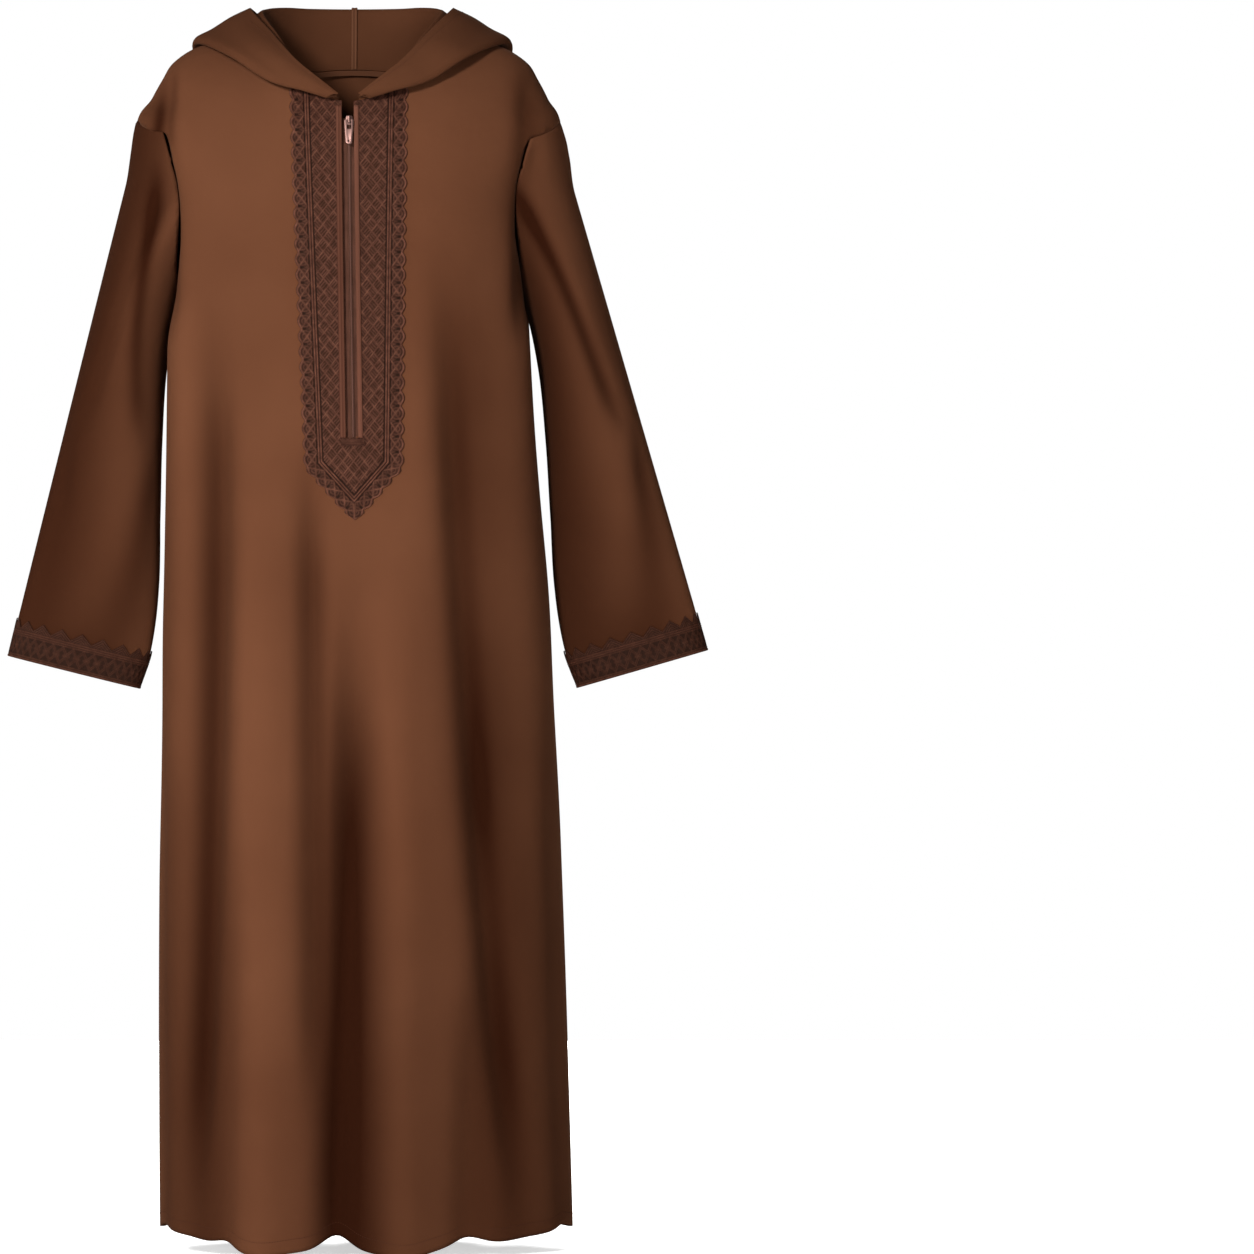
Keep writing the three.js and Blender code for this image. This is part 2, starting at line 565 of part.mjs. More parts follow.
function neckTape() {
  // Round the back of the neck, inside the garment
  const pointAt = (a, b) => {
    const angle = Math.PI + THREE.MathUtils.degToRad((2 * a - 1) * neckTapeTurn);
    const inside = -clothWall - neckTapeLift;
    const rim = liftedPoint((s, t) => bodyPoint(s, levelCount * t), angle, 1, inside);
    return rim.add(new THREE.Vector3(0, 0, (b - 1) * neckTapeHeight + neckTapeRise));
  };
  return wallOn(pointAt, { across: backColumns, along: 1, from: -tapeWall, to: 0 });
}

// The cuff bands

function cuffTrim(sleeve) {
  // Lies on the flat facets of the sleeve's lowest row, so it keeps its distance all the way round
  const surface = sleeveSurface(sleeve);
  const corner = (column, row) => surface(column / cuffPoints, row / sleeveRows);
  const pointAt = (a, b) => {
    const start = Math.floor(a * cuffPoints + roundOff);
    const across = a * cuffPoints - start;
    const zigzag = Math.abs(across * 2 - 1);
    const up = (b * (cuffTrimHeight + cuffPointHeight * zigzag) * sleeveRows) / sleeveLength;
    const low = corner(start, 0).lerp(corner(start + 1, 0), across);
    return low.lerp(corner(start, 1).lerp(corner(start + 1, 1), across), up);
  };
  const [from, to] = [cuffTrimLift, cuffTrimLift + trimWall];
  return wallOn(pointAt, { across: cuffPoints * 2, along: 2, from, to, ring: true });
}

// The zip's slider and pull

function frontAt(z) {
  // The point of the front's surface on the zip's line at a height
  const angle = zipX(z) / bodyLevels[levelCount].front;
  let low = armpitLevel;
  let high = levelCount;
  for (let i = 0; i < 40; i++) {
    const middle = (low + high) / 2;
    if (bodyPoint(angle, middle).z < z) low = middle;
    else high = middle;
  }
  return bodyPoint(angle, low);
}

function zipFrame() {
  // A group on the front's surface, turned so that its -Y leads out of the cloth
  const slope = frontAt(sliderZ + sliderSize.length).sub(frontAt(sliderZ - sliderSize.length));
  const frame = new THREE.Group();
  frame.position.copy(frontAt(sliderZ));
  frame.rotation.x = -Math.atan2(slope.y, slope.z);
  return frame;
}

function sliderSolid() {
  const { width, length, thick, lift } = sliderSize;
  const half = width / 2;
  const tail = sliderSize.tail / 2;
  const shield = new THREE.Shape([
    new THREE.Vector2(-tail, -length / 2),
    new THREE.Vector2(tail, -length / 2),
    new THREE.Vector2(half, 0),
    new THREE.Vector2(half, length / 2 - 1),
    new THREE.Vector2(half - 1, length / 2),
    new THREE.Vector2(-half + 1, length / 2),
    new THREE.Vector2(-half, length / 2 - 1),
    new THREE.Vector2(-half, 0),
  ]);
  const plate = new THREE.ExtrudeGeometry(shield, { depth: thick, bevelEnabled: false });
  plate.rotateX(Math.PI / 2).translate(0, -lift, 0);
  const bridge = bridgeSize;
  const arch = new THREE.Shape([
    new THREE.Vector2(bridge.root, -bridge.reach / 2),
    new THREE.Vector2(bridge.root, bridge.reach / 2),
    new THREE.Vector2(-bridge.height + 1, bridge.reach / 2),
    new THREE.Vector2(-bridge.height, bridge.reach / 2 - 1),
    new THREE.Vector2(-bridge.height, -bridge.reach / 2 + 1),
    new THREE.Vector2(-bridge.height + 1, -bridge.reach / 2),
  ]);
  const innerHalf = bridge.reach / 2 - bridge.post;
  arch.holes.push(
    new THREE.Path([
      new THREE.Vector2(0, -innerHalf),
      new THREE.Vector2(-bridge.height + bridge.bar, -innerHalf),
      new THREE.Vector2(-bridge.height + bridge.bar, innerHalf),
      new THREE.Vector2(0, innerHalf),
    ]),
  );
  const loop = new THREE.ExtrudeGeometry(arch, { depth: bridge.width, bevelEnabled: false });
  // The arch is drawn with its own x as the garment's Y and its own y as Z
  loop.applyMatrix4(new THREE.Matrix4().makeBasis(
    new THREE.Vector3(0, 1, 0),
    new THREE.Vector3(0, 0, 1),
    new THREE.Vector3(1, 0, 0),
  ));
  loop.translate(-bridge.width / 2, -lift - thick, 0);
  return solidFromGeometry(plate).add(solidFromGeometry(loop));
}

function pullPivot() {
  // The middle of the pull's top bar, inside the bridge, in the slider's frame
  const clear = bridgeSize.height - bridgeSize.bar;
  return new THREE.Vector3(0, -sliderSize.lift - sliderSize.thick - clear / 2, -pullDrop);
}

function pullSolid() {
  // Hangs from its top bar, whose middle is the pivot
  const { length, topWidth, lowWidth, thick } = pullSize;
  const top = pullSlot.margin / 2;
  const low = top - length;
  const round = 2;
  const outline = new THREE.Shape();
  outline.moveTo(-topWidth / 2 + round, top);
  outline.quadraticCurveTo(-topWidth / 2, top, -topWidth / 2, top - round);
  outline.lineTo(-lowWidth / 2, low + lowWidth / 2);
  outline.quadraticCurveTo(-lowWidth / 2, low, 0, low);
  outline.quadraticCurveTo(lowWidth / 2, low, lowWidth / 2, low + lowWidth / 2);
  outline.lineTo(topWidth / 2, top - round);
  outline.quadraticCurveTo(topWidth / 2, top, topWidth / 2 - round, top);
  const slot = new THREE.Path([
    new THREE.Vector2(-pullSlot.width / 2, -top),
    new THREE.Vector2(pullSlot.width / 2, -top),
    new THREE.Vector2(pullSlot.width / 2, -top - pullSlot.length),
    new THREE.Vector2(-pullSlot.width / 2, -top - pullSlot.length),
  ]);
  const hole = new THREE.Path();
  hole.absarc(0, low + pullHole.fromEnd, pullHole.radius, 0, 2 * Math.PI);
  outline.holes.push(slot, hole);
  const plate = new THREE.ExtrudeGeometry(outline, { depth: thick, bevelEnabled: false, curveSegments: 4 });
  plate.rotateX(Math.PI / 2).translate(0, thick / 2, 0);
  return solidFromGeometry(plate);
}

// The garment

const abaya = new THREE.Group();
const body = bodySolid(seamGap);
const slitStrip = { near: -slitRight, far: slitLeft, topZ: aboveNeckZ, lowZ: zipEndZ };
const slit = prismThroughFront(stripOutline(slitStrip));
const armholes = Object.values(sleeves).map((sleeve) =>
  filledTube(sleeveSurface(sleeve), { around: cuffPoints, along: sleeveRows, lift: 0 }),
);
const withoutArmholes = (solid) => armholes.reduce((left, hole) => left.subtract(hole), solid);

const front = withoutArmholes(panel(0, frontColumns)).subtract(slit);
addPiece(abaya, "front_panel", front, materials.crepe);
addPiece(abaya, "back_panel", withoutArmholes(panel(Math.PI, backColumns)), materials.crepe);

for (const [side, sleeve] of Object.entries(sleeves)) {
  const grid = { across: cuffPoints, along: sleeveRows, ring: true };
  const tube = wallOn(sleeveSurface(sleeve), { ...grid, from: -clothWall, to: 0 });
  addPiece(abaya, `sleeve_${side}`, tube.subtract(body), materials.crepe);
  addPiece(abaya, `cuff_trim_${side}`, cuffTrim(sleeve), materials.embroidery);
  addPiece(abaya, `hood_${side}`, hoodHalf(sleeve.sign), materials.crepe);
}
addPiece(abaya, "hood_seam_tape", hoodSeamTape(), materials.crepe);
addPiece(abaya, "neck_tape", neckTape(), materials.crepe);

const placketWall = frontPatch(placketColumns, trimLift, trimLift + trimWall);
const placket = placketWall.intersect(prismThroughFront(scallopedOutline())).subtract(slit);
addPiece(abaya, "placket_trim", placket, materials.embroidery);

const onPlacket = trimLift * 2 + trimWall;
for (const [side, strip] of Object.entries(weltStrips)) {
  addPiece(abaya, `zip_welt_${side}`, stripOnFront(strip, onPlacket), materials.crepe);
}
const behindCloth = -clothWall - trimLift - tapeStrip.wall;
addPiece(abaya, "zip_tape", stripOnFront(tapeStrip, behindCloth), materials.zipCloth);
addPiece(abaya, "zip_coil", stripOnFront(coilStrip, -clothWall), materials.zipTeeth);
addPiece(abaya, "zip_stop", stripOnFront(stopStrip, onPlacket), materials.embroidery);

const zip = zipFrame();
addPiece(zip, "zip_slider", sliderSolid(), materials.metal);
const pull = addPiece(zip, "zip_pull", pullSolid(), materials.metal);
pull.position.copy(pullPivot());
abaya.add(zip);

export default abaya;
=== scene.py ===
import bmesh
import bpy
import numpy as np
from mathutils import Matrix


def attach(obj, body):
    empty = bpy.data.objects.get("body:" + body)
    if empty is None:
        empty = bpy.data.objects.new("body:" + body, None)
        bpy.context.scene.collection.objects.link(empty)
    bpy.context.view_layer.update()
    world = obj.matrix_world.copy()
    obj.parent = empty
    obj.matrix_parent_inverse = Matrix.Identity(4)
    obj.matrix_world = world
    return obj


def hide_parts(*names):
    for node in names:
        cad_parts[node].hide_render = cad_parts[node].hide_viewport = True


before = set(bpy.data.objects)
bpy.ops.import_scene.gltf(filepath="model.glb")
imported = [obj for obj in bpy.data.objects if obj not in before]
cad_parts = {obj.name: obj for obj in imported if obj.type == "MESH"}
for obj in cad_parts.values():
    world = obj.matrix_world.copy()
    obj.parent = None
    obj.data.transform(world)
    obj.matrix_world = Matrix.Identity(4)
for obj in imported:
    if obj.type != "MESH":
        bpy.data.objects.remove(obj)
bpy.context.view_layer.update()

# A hooded abaya. Shapes are worked out in millimetres, +Z up, front at -Y, the wearer's left at +X.
metre = 0.001
studio = {
    "frameWidth": 1.467,  # metres seen across at the garment
    "cameraX": 0.322,
    "cameraZ": -0.652,
    "distance": 9.0,
    "sensor": 36.0,
    "floorZ": -1.378,
    "floorSize": 9.0,
    "floorColour": (0.9, 0.9, 0.89),
    "floorRoughness": 0.8,
    "floorGlow": 0.6,
    "ambientColour": (1.0, 0.98, 0.96),
    "ambient": 0.13,
}
studioLights = (  # name, place, aimed at, size, watts
    ("keyLight", (-1.9, -4.6, 1.2), (0.0, 0.0, -0.5), 1.0, 385),
    ("frontFill", (1.6, -5.6, -0.4), (0.0, 0.0, -0.7), 1.8, 125),
    ("leftSide", (-5.0, -1.6, 0.3), (-0.3, 0.0, -0.5), 1.2, 90),
    ("backLight", (0.4, 5.3, 0.4), (0.0, 0.0, -0.6), 1.4, 360),
)


# Camera, lights and floor

def newObject(name, data):
    made = bpy.data.objects.new(name, data)
    bpy.context.scene.collection.objects.link(made)
    return made


def makeStudio():
    cameraData = bpy.data.cameras.new("camera")
    cameraData.sensor_width = studio["sensor"]
    cameraData.lens = studio["sensor"] * studio["distance"] / studio["frameWidth"]
    cameraData.clip_end = 100
    camera = newObject("camera", cameraData)
    camera.location = (studio["cameraX"], -studio["distance"], studio["cameraZ"])
    camera.rotation_euler = (np.pi / 2, 0, 0)
    bpy.context.scene.camera = camera

    half, z = studio["floorSize"] / 2, studio["floorZ"]
    mesh = bpy.data.meshes.new("floor")
    corners = [(-half, -half, z), (half, -half, z), (half, half, z), (-half, half, z)]
    mesh.from_pydata(corners, [], [(0, 1, 2, 3)])
    mesh.materials.append(floorFinish())
    newObject("floor", mesh)

    for name, place, target, size, watts in studioLights:
        data = bpy.data.lights.new(name, "AREA")
        data.shape, data.size, data.energy = "DISK", size, watts
        light = newObject(name, data)
        light.location = place
        aim = np.array(target) - np.array(place)
        tilt, turn = np.arctan2(np.hypot(aim[0], aim[1]), -aim[2]), np.arctan2(-aim[0], aim[1])
        light.rotation_euler = (tilt, 0, turn)

    world = bpy.data.worlds.new("world")
    bpy.context.scene.world = world
    world.use_nodes = True
    tree = world.node_tree
    seen = tree.nodes["Background"]
    setInputs(tree, seen, {"Color": (1.0, 1.0, 1.0, 1)})
    lit = addNode(tree, "Background", {"Color": (*studio["ambientColour"], 1), "Strength": studio["ambient"]})
    toCamera = addNode(tree, "LightPath").outputs["Is Camera Ray"]
    mix = addNode(tree, "MixShader", {0: toCamera, 1: lit.outputs[0], 2: seen.outputs[0]})
    setInputs(tree, tree.nodes["World Output"], {"Surface": mix.outputs[0]})
    bpy.context.scene.view_settings.view_transform = "Standard"


# Finishes

def setInputs(tree, node, inputs):
    # Each input gets its value, or a link from the output that is given for it
    for socket, value in inputs.items():
        if isinstance(value, bpy.types.NodeSocket):
            tree.links.new(value, node.inputs[socket])
        else:
            node.inputs[socket].default_value = value


def addNode(tree, kind, inputs=None, **settings):
    made = tree.nodes.new(f"ShaderNode{kind}")
    for setting, value in settings.items():
        setattr(made, setting, value)
    setInputs(tree, made, inputs or {})
    return made


def newFinish(name):
    material = bpy.data.materials.new(name)
    material.use_nodes = True
    return material, material.node_tree, material.node_tree.nodes["Principled BSDF"]


def floorFinish():
    # The floor's glow is for the camera alone, so that it lights nothing
    material, tree, shader = newFinish("paleFloor")
    toCamera = addNode(tree, "LightPath").outputs["Is Camera Ray"]
    glow = addNode(tree, "Math", {0: toCamera, 1: studio["floorGlow"]}, operation="MULTIPLY")
    setInputs(tree, shader, {
        "Base Color": (*studio["floorColour"], 1),
        "Roughness": studio["floorRoughness"],
        "Emission Color": (1, 1, 1, 1),
        "Emission Strength": glow.outputs["Value"],
    })
    return material


def clothFinish(name, look):
    # Colour drifts softly over the cloth, and painted shade darkens it towards the hollow colour where the
    # piece's attribute lies low, in its folds and recesses; the weave and its slubs are a fine bump on the
    # piece's own UV, in metres
    material, tree, shader = newFinish(name)
    place = addNode(tree, "TexCoord").outputs["Object"]
    drift = addNode(tree, "TexNoise", {"Vector": place, "Scale": look["driftScale"], "Detail": 3})
    ramp = addNode(tree, "ValToRGB", {"Fac": drift.outputs["Fac"]})
    stops = zip(ramp.color_ramp.elements, look["driftStops"], (look["dark"], look["light"]))
    for element, position, colour in stops:
        element.position, element.color = position, (*colour, 1)
    uv = addNode(tree, "UVMap", uv_map="cloth").outputs["UV"]
    wavy = {"Vector": uv, "Scale": look["threads"], "Distortion": 1.2, "Detail": 1, "Detail Scale": 0.2}
    warp, weft = (addNode(tree, "TexWave", wavy, bands_direction=way).outputs["Fac"] for way in ("X", "Y"))
    weave = addNode(tree, "Math", {0: warp, 1: weft}, operation="MULTIPLY").outputs["Value"]
    woven = addNode(tree, "Mix", {"Factor": look["threadShade"], "A": ramp.outputs["Color"], "B": weave},
                    data_type="RGBA", blend_type="MULTIPLY")
    # Painted shade: the lower the attribute, the nearer the colour comes to the hollow colour
    paintedShadeLevel = addNode(tree, "Attribute", attribute_name="paintedShadeLevel").outputs["Fac"]
    low, high = look["paintedShadeRange"]
    height = addNode(tree, "MapRange", {"Value": paintedShadeLevel, "From Min": low, "From Max": high})
    toned = addNode(tree, "Mix", {"Factor": height.outputs["Result"], "A": (*look["hollow"], 1),
                                  "B": woven.outputs["Result"]}, data_type="RGBA")
    crumple = addNode(tree, "TexNoise", {"Vector": place, "Scale": look["crumpleScale"], "Detail": 4})
    soft = addNode(tree, "Bump", {"Strength": 1.0, "Distance": look["crumpleDepth"],
                                  "Height": crumple.outputs["Fac"]})
    fine = addNode(tree, "Bump", {"Strength": look["weaveStrength"], "Distance": look["weaveDepth"],
                                  "Height": weave, "Normal": soft.outputs["Normal"]})
    setInputs(tree, shader, {
        "Base Color": toned.outputs["Result"],
        "Normal": fine.outputs["Normal"],
        "Roughness": look["roughness"],
        "Sheen Weight": look["sheen"],
        "Sheen Roughness": look["sheenRoughness"],
        "Sheen Tint": (*look["sheenTint"], 1),
        "Specular IOR Level": look["specular"],
        "Specular Tint": (*look["specularTint"], 1),
    })
    return material


crepeLook = {
    "dark": (0.079, 0.0290, 0.0138),
    "light": (0.102, 0.0392, 0.0190),
    "roughness": 0.58,
    "specular": 0.0,
    "specularTint": (1.0, 0.6, 0.42),
    "sheen": 0.03,
    "sheenRoughness": 0.35,
    "sheenTint": (0.8, 0.5, 0.36),
    "driftScale": 4.0,
    "driftStops": (0.3, 0.7),
    "threads": 700.0,
    "threadShade": 0.12,
    "weaveStrength": 0.25,
    "weaveDepth": 0.0002,
    "crumpleScale": 9.0,
    "crumpleDepth": 0.004,
    "hollow": (0.0165, 0.0046, 0.0020),  # painted shade, deep in a fold
    "paintedShadeRange": (-20.0, 1.0),
}
# A darker copy of the crepe for the hood: painted shade
shadedHoodLook = {
    **crepeLook,
    "dark": (0.052, 0.0190, 0.0090),
    "light": (0.071, 0.0270, 0.0130),
    "crumpleDepth": 0.003,
}
threadLook = {
    **crepeLook,
    "dark": (0.050, 0.0172, 0.0105),
    "light": (0.118, 0.0440, 0.0275),
    # the hollow colour is painted shade in the recesses between the threads
    "hollow": (0.0065, 0.0022, 0.0014),
    "paintedShadeRange": (-0.06, 0.58),
    "roughness": 0.5,
    "specular": 0.1,
    "driftScale": 160.0,
    "threads": 900.0,
    "threadShade": 0.25,
    "weaveStrength": 0.6,
    "crumpleScale": 300.0,
    "crumpleDepth": 0.0004,
}
# A darker copy of the embroidery thread for the cuffs: painted shade on the sleeves' ends
shadedCuffLook = {**threadLook, "dark": (0.036, 0.0118, 0.0068), "light": (0.066, 0.0225, 0.0132)}
weltLook = {
    **crepeLook,
    "dark": (0.075, 0.029, 0.018),
    "light": (0.105, 0.041, 0.026),
    "crumpleScale": 60.0,
    "crumpleDepth": 0.001,
    "paintedShadeRange": (-0.4, 0.6),
}
tapeLook = {
    **threadLook,
    "dark": (0.085, 0.033, 0.021),
    "light": (0.120, 0.048, 0.031),
    "driftScale": 60.0,
    "paintedShadeRange": (-0.1, 0.3),
}
coilLook = {**weltLook, "dark": (0.15, 0.072, 0.052), "light": (0.22, 0.110, 0.082), "roughness": 0.4}
liningLook = {
    **crepeLook,
    "dark": (0.085, 0.035, 0.018),
    "light": (0.11, 0.046, 0.025),
    "paintedShadeRange": (-0.4, 0.3),
}
metalLook = {
    "colour": (0.21, 0.118, 0.100),
    "roughness": (0.32, 0.5),
    "scratchScale": 900,
    "scratchDepth": 0.0001,
}


def metalFinish(name, look):
    # Polished rose copper with fine scratches and slightly duller patches
    material, tree, shader = newFinish(name)
    place = addNode(tree, "TexCoord").outputs["Object"]
    noise = addNode(tree, "TexNoise", {"Vector": place, "Scale": look["scratchScale"], "Detail": 3})
    scratch = noise.outputs["Fac"]
    low, high = look["roughness"]
    dull = addNode(tree, "MapRange", {"Value": scratch, "To Min": low, "To Max": high})
    bump = addNode(tree, "Bump", {"Strength": 0.2, "Distance": look["scratchDepth"], "Height": scratch})
    setInputs(tree, shader, {
        "Base Color": (*look["colour"], 1),
        "Metallic": 1.0,
        "Roughness": dull.outputs["Result"],
        "Normal": bump.outputs["Normal"],
    })
    return material


finishes = {use: clothFinish(name, look) for use, name, look in (
    ("crepe", "brownCrepe", crepeLook),
    ("hood", "shadedHoodCrepe", shadedHoodLook),
    ("embroidery", "embroideryThread", threadLook),
    ("cuff", "cuffThread", shadedCuffLook),
    ("welt", "weltCrepe", weltLook),
    ("band", "tapeCrepe", liningLook),
    ("tape", "zipTapeWeave", tapeLook),
    ("coil", "zipCoilNylon", coilLook),
    ("stitch", "stitchThread", weltLook),
)}
finishes["metal"] = metalFinish("roseCopper", metalLook)
makeStudio()
print("studio and finishes made")


# Curves through tables, grids of points and the walls made on them

def between(table, place):
    # Smooth curve through a table's rows: a Catmull-Rom cubic between the two rows beside the place
    last = len(table) - 1
    low = np.clip(np.floor(place).astype(int), 0, last - 1)
    t = (place - low)[..., None]
    p0, p1, p2, p3 = (table[np.clip(low + step, 0, last)] for step in (-1, 0, 1, 2))
    bend = 2 * p0 - 5 * p1 + 4 * p2 - p3 + (3 * (p1 - p2) + p3 - p0) * t
    return p1 + 0.5 * t * (p2 - p0 + t * bend)


def smooth(t):
    s = np.clip(t, 0, 1)
    return s * s * (3 - 2 * s)


def eased(run, ease=0.22):
    # Rises from 0 at the start of a run and falls back to 0 at its end
    return smooth(run / ease) * smooth((1 - run) / ease)


def ridge(distance, width=1.0):
    return np.exp(-(distance / width)**2)


def lengthOf(vectors):
    return np.linalg.norm(vectors, axis=-1, keepdims=True)


def unit(vectors):
    return vectors / lengthOf(vectors)


def normalsOf(pointAt, a, b, step=1e-3):
    # Cross product of the surface's two directions, which faces out where a turns into b
    alongA = pointAt(a + step, b) - pointAt(a - step, b)
    alongB = pointAt(a, np.minimum(b + step, 1)) - pointAt(a, np.maximum(b - step, 0))
    return unit(np.cross(alongA, alongB))


def gridOf(columns, rows):
    return np.meshgrid(np.linspace(0, 1, columns + 1), np.linspace(0, 1, rows + 1))


def clothUv(points):
    # Arc length along each row and up each column, in metres
    across = np.linalg.norm(np.diff(points, axis=1), axis=2)
    upward = np.linalg.norm(np.diff(points, axis=0), axis=2)
    u = np.pad(np.cumsum(across, axis=1), ((0, 0), (1, 0)))
    v = np.pad(np.cumsum(upward, axis=0), ((1, 0), (0, 0)))
    return np.stack([u - u.mean(1, keepdims=True), v], -1) * metre


def objectOf(name, points, faces, uvs, finish, heights=None):
    mesh = bpy.data.meshes.new(name)
    mesh.from_pydata(points * metre, [], faces)
    layer = mesh.uv_layers.new(name="cloth")
    corners = np.empty(len(mesh.loops), int)
    mesh.loops.foreach_get("vertex_index", corners)
    layer.data.foreach_set("uv", uvs[corners].astype(np.float32).ravel())
    mesh.polygons.foreach_set("use_smooth", np.ones(len(mesh.polygons), bool))
    # The attribute holds relief heights or painted shade values; the finish paints shade where they lie low
    if heights is not None:
        paintedShadeLevel = mesh.attributes.new("paintedShadeLevel", "FLOAT", "POINT")
        paintedShadeLevel.data.foreach_set("value", heights.astype(np.float32).ravel())
    mesh.materials.append(finishes[finish])
    mesh.update()
    piece = newObject(name, mesh)
    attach(piece, "garment")
    return piece


def standFor(node):
    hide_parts(node)


def shellOf(outer, inner, keep, ring, backed=True):
    # Two grids of points joined into a wall: outer faces, inner faces turned round, and a rim on every
    # open edge. What is sewn flat on the cloth has no inner faces.
    rows, columns = keep.shape
    ids = np.arange((rows + 1) * (columns + 1)).reshape(rows + 1, columns + 1)
    if ring:
        ids[:, -1] = ids[:, 0]
    quads = np.stack([ids[:-1, :-1], ids[:-1, 1:], ids[1:, 1:], ids[1:, :-1]], -1)[keep]
    count = ids.size
    edges = np.stack([quads, np.roll(quads, -1, axis=1)], -1).reshape(-1, 2)
    keys = edges[:, 0] * count + edges[:, 1]
    loose = edges[~np.isin(keys, edges[:, 1] * count + edges[:, 0])]
    rim = np.stack([loose[:, 1], loose[:, 0], loose[:, 0] + count, loose[:, 1] + count], -1)
    faces = np.concatenate([quads, quads[:, ::-1] + count, rim] if backed else [quads, rim])
    points = np.concatenate([outer.reshape(-1, 3), inner.reshape(-1, 3)])
    used = np.unique(faces)
    renamed = np.zeros(2 * count, int)
    renamed[used] = np.arange(len(used))
    return points[used], renamed[faces], used % count


cutting = {"rounds": 5, "step": 1e-3, "reach": 1.2, "leastSlope": 1e-6}


def wallPiece(name, pointAt, a, b, lifts, finish, keepers=(), relief=None, ring=False, holes=None,
              backed=True, paintedShade=None, blend=None):
    # A wall on a surface between two lifts, cut back to where every keeper is above zero.
    # The points beside a cut slide along the surface until they lie on it.
    rows, columns = a.shape[0] - 1, a.shape[1] - 1
    keep = np.ones((rows, columns), bool) if holes is None else ~holes
    step = cutting["step"]
    limitA, limitB = cutting["reach"] / columns, cutting["reach"] / rows
    for keeper in keepers:
        value = keeper(pointAt(a, b))
        middle = (value[:-1, :-1] + value[1:, :-1] + value[:-1, 1:] + value[1:, 1:]) / 4
        kept = keep & (middle > 0)
        near, dropped = np.zeros(a.shape, int), np.zeros(a.shape, int)
        for i, j in ((0, 0), (0, 1), (1, 0), (1, 1)):
            near[i:rows + i, j:columns + j] += kept
            dropped[i:rows + i, j:columns + j] += keep & ~kept
        onCut = (near > 0) & (dropped > 0)
        for _ in range(cutting["rounds"]):
            value = keeper(pointAt(a, b))
            slopeA = (keeper(pointAt(a + step, b)) - value) / step
            slopeB = (value - keeper(pointAt(a, b - step))) / step
            share = value / np.maximum(slopeA**2 + slopeB**2, cutting["leastSlope"])
            a = np.where(onCut, a - np.clip(share * slopeA, -limitA, limitA), a)
            b = np.where(onCut, np.clip(b - np.clip(share * slopeB, -limitB, limitB), 0, 1), b)
        keep = kept
    base = pointAt(a, b)
    normal = normalsOf(pointAt, a, b)
    unblended = base
    if blend is not None:
        base = base + blend(base, normal)
    heights = np.zeros_like(a) if relief is None else relief(a, b, base)
    uvs = clothUv(base).reshape(-1, 2)
    outer = base + normal * (lifts[1] + heights)[..., None]
    points, faces, source = shellOf(outer, base + normal * lifts[0], keep, ring, backed)
    # Where a piece has painted shade, its values take the place of the relief heights in the attribute
    if paintedShade is not None:
        heights = paintedShade(unblended)
    shown = None if relief is None and paintedShade is None else heights.ravel()[source]
    return objectOf(name, points, faces, uvs[source], finish, shown)


# The body

bodyCloth = {
    "wall": 2.0,
    "gap": 0.3,
    "rows": 210,
    "frontColumns": 150,
    "backColumns": 140,
    "armpitLevel": 9,
    "armpitShare": 0.68,  # of the rows, below the armpit
    "sideReach": 220,
    "tuckSpread": 45,
    "tuckShare": 0.35,
    "levelDip": 2.2,
    "hemSwing": 0.9,
    "faceDepth": 60,
    "sideInset": 150,
    "neckArch": {"drop": 12, "aside": 58, "width": 28, "fromLevel": 13, "overLevels": 5},
}
levelNames = ("side", "fore", "rear", "left", "right", "front", "back", "square", "tuck")
bodyLevels = np.array([  # from the hem to the neck edge, one column for each name above
    (-1351, -1371, -1364, 257, 224, 156, 150, 2.3, 0),
    (-1210, -1210, -1210, 253, 225, 152, 144, 2.3, 0),
    (-1060, -1060, -1060, 248, 225, 149, 139, 2.4, 0),
    (-910, -910, -910, 242, 224, 145, 134, 2.5, 0),
    (-760, -760, -760, 236, 222, 141, 129, 2.6, 0),
    (-620, -620, -620, 231, 219, 137, 125, 2.8, 0),
    (-500, -500, -500, 223, 217, 134, 122, 3.0, 6),
    (-390, -390, -390, 215, 214, 132, 120, 3.2, 17),
    (-290, -290, -290, 209, 211, 130, 118, 3.2, 28),
    (-220, -220, -220, 205, 209, 126, 116, 3.2, 24),
    (-150, -160, -155, 202, 208, 120, 114, 3.2, 6),
    (-104, -128, -120, 220, 226, 116, 112, 3.0, 0),
    (-62, -104, -92, 237, 243, 112, 109, 2.6, 0),
    (-38, -92, -76, 231, 235, 110, 106, 2.5, 0),
    (-12, -81, -60, 218, 221, 108, 103, 2.4, 0),
    (8, -70, -42, 205, 208, 105, 98, 2.3, 0),
    (26, -60, -24, 176, 180, 102, 91, 2.2, 0),
    (34, -52, -8, 138, 140, 100, 84, 2.1, 0),
    (38, -44, 5, 92, 92, 97, 76, 2.0, 0),
], float)
levelCount = len(bodyLevels) - 1
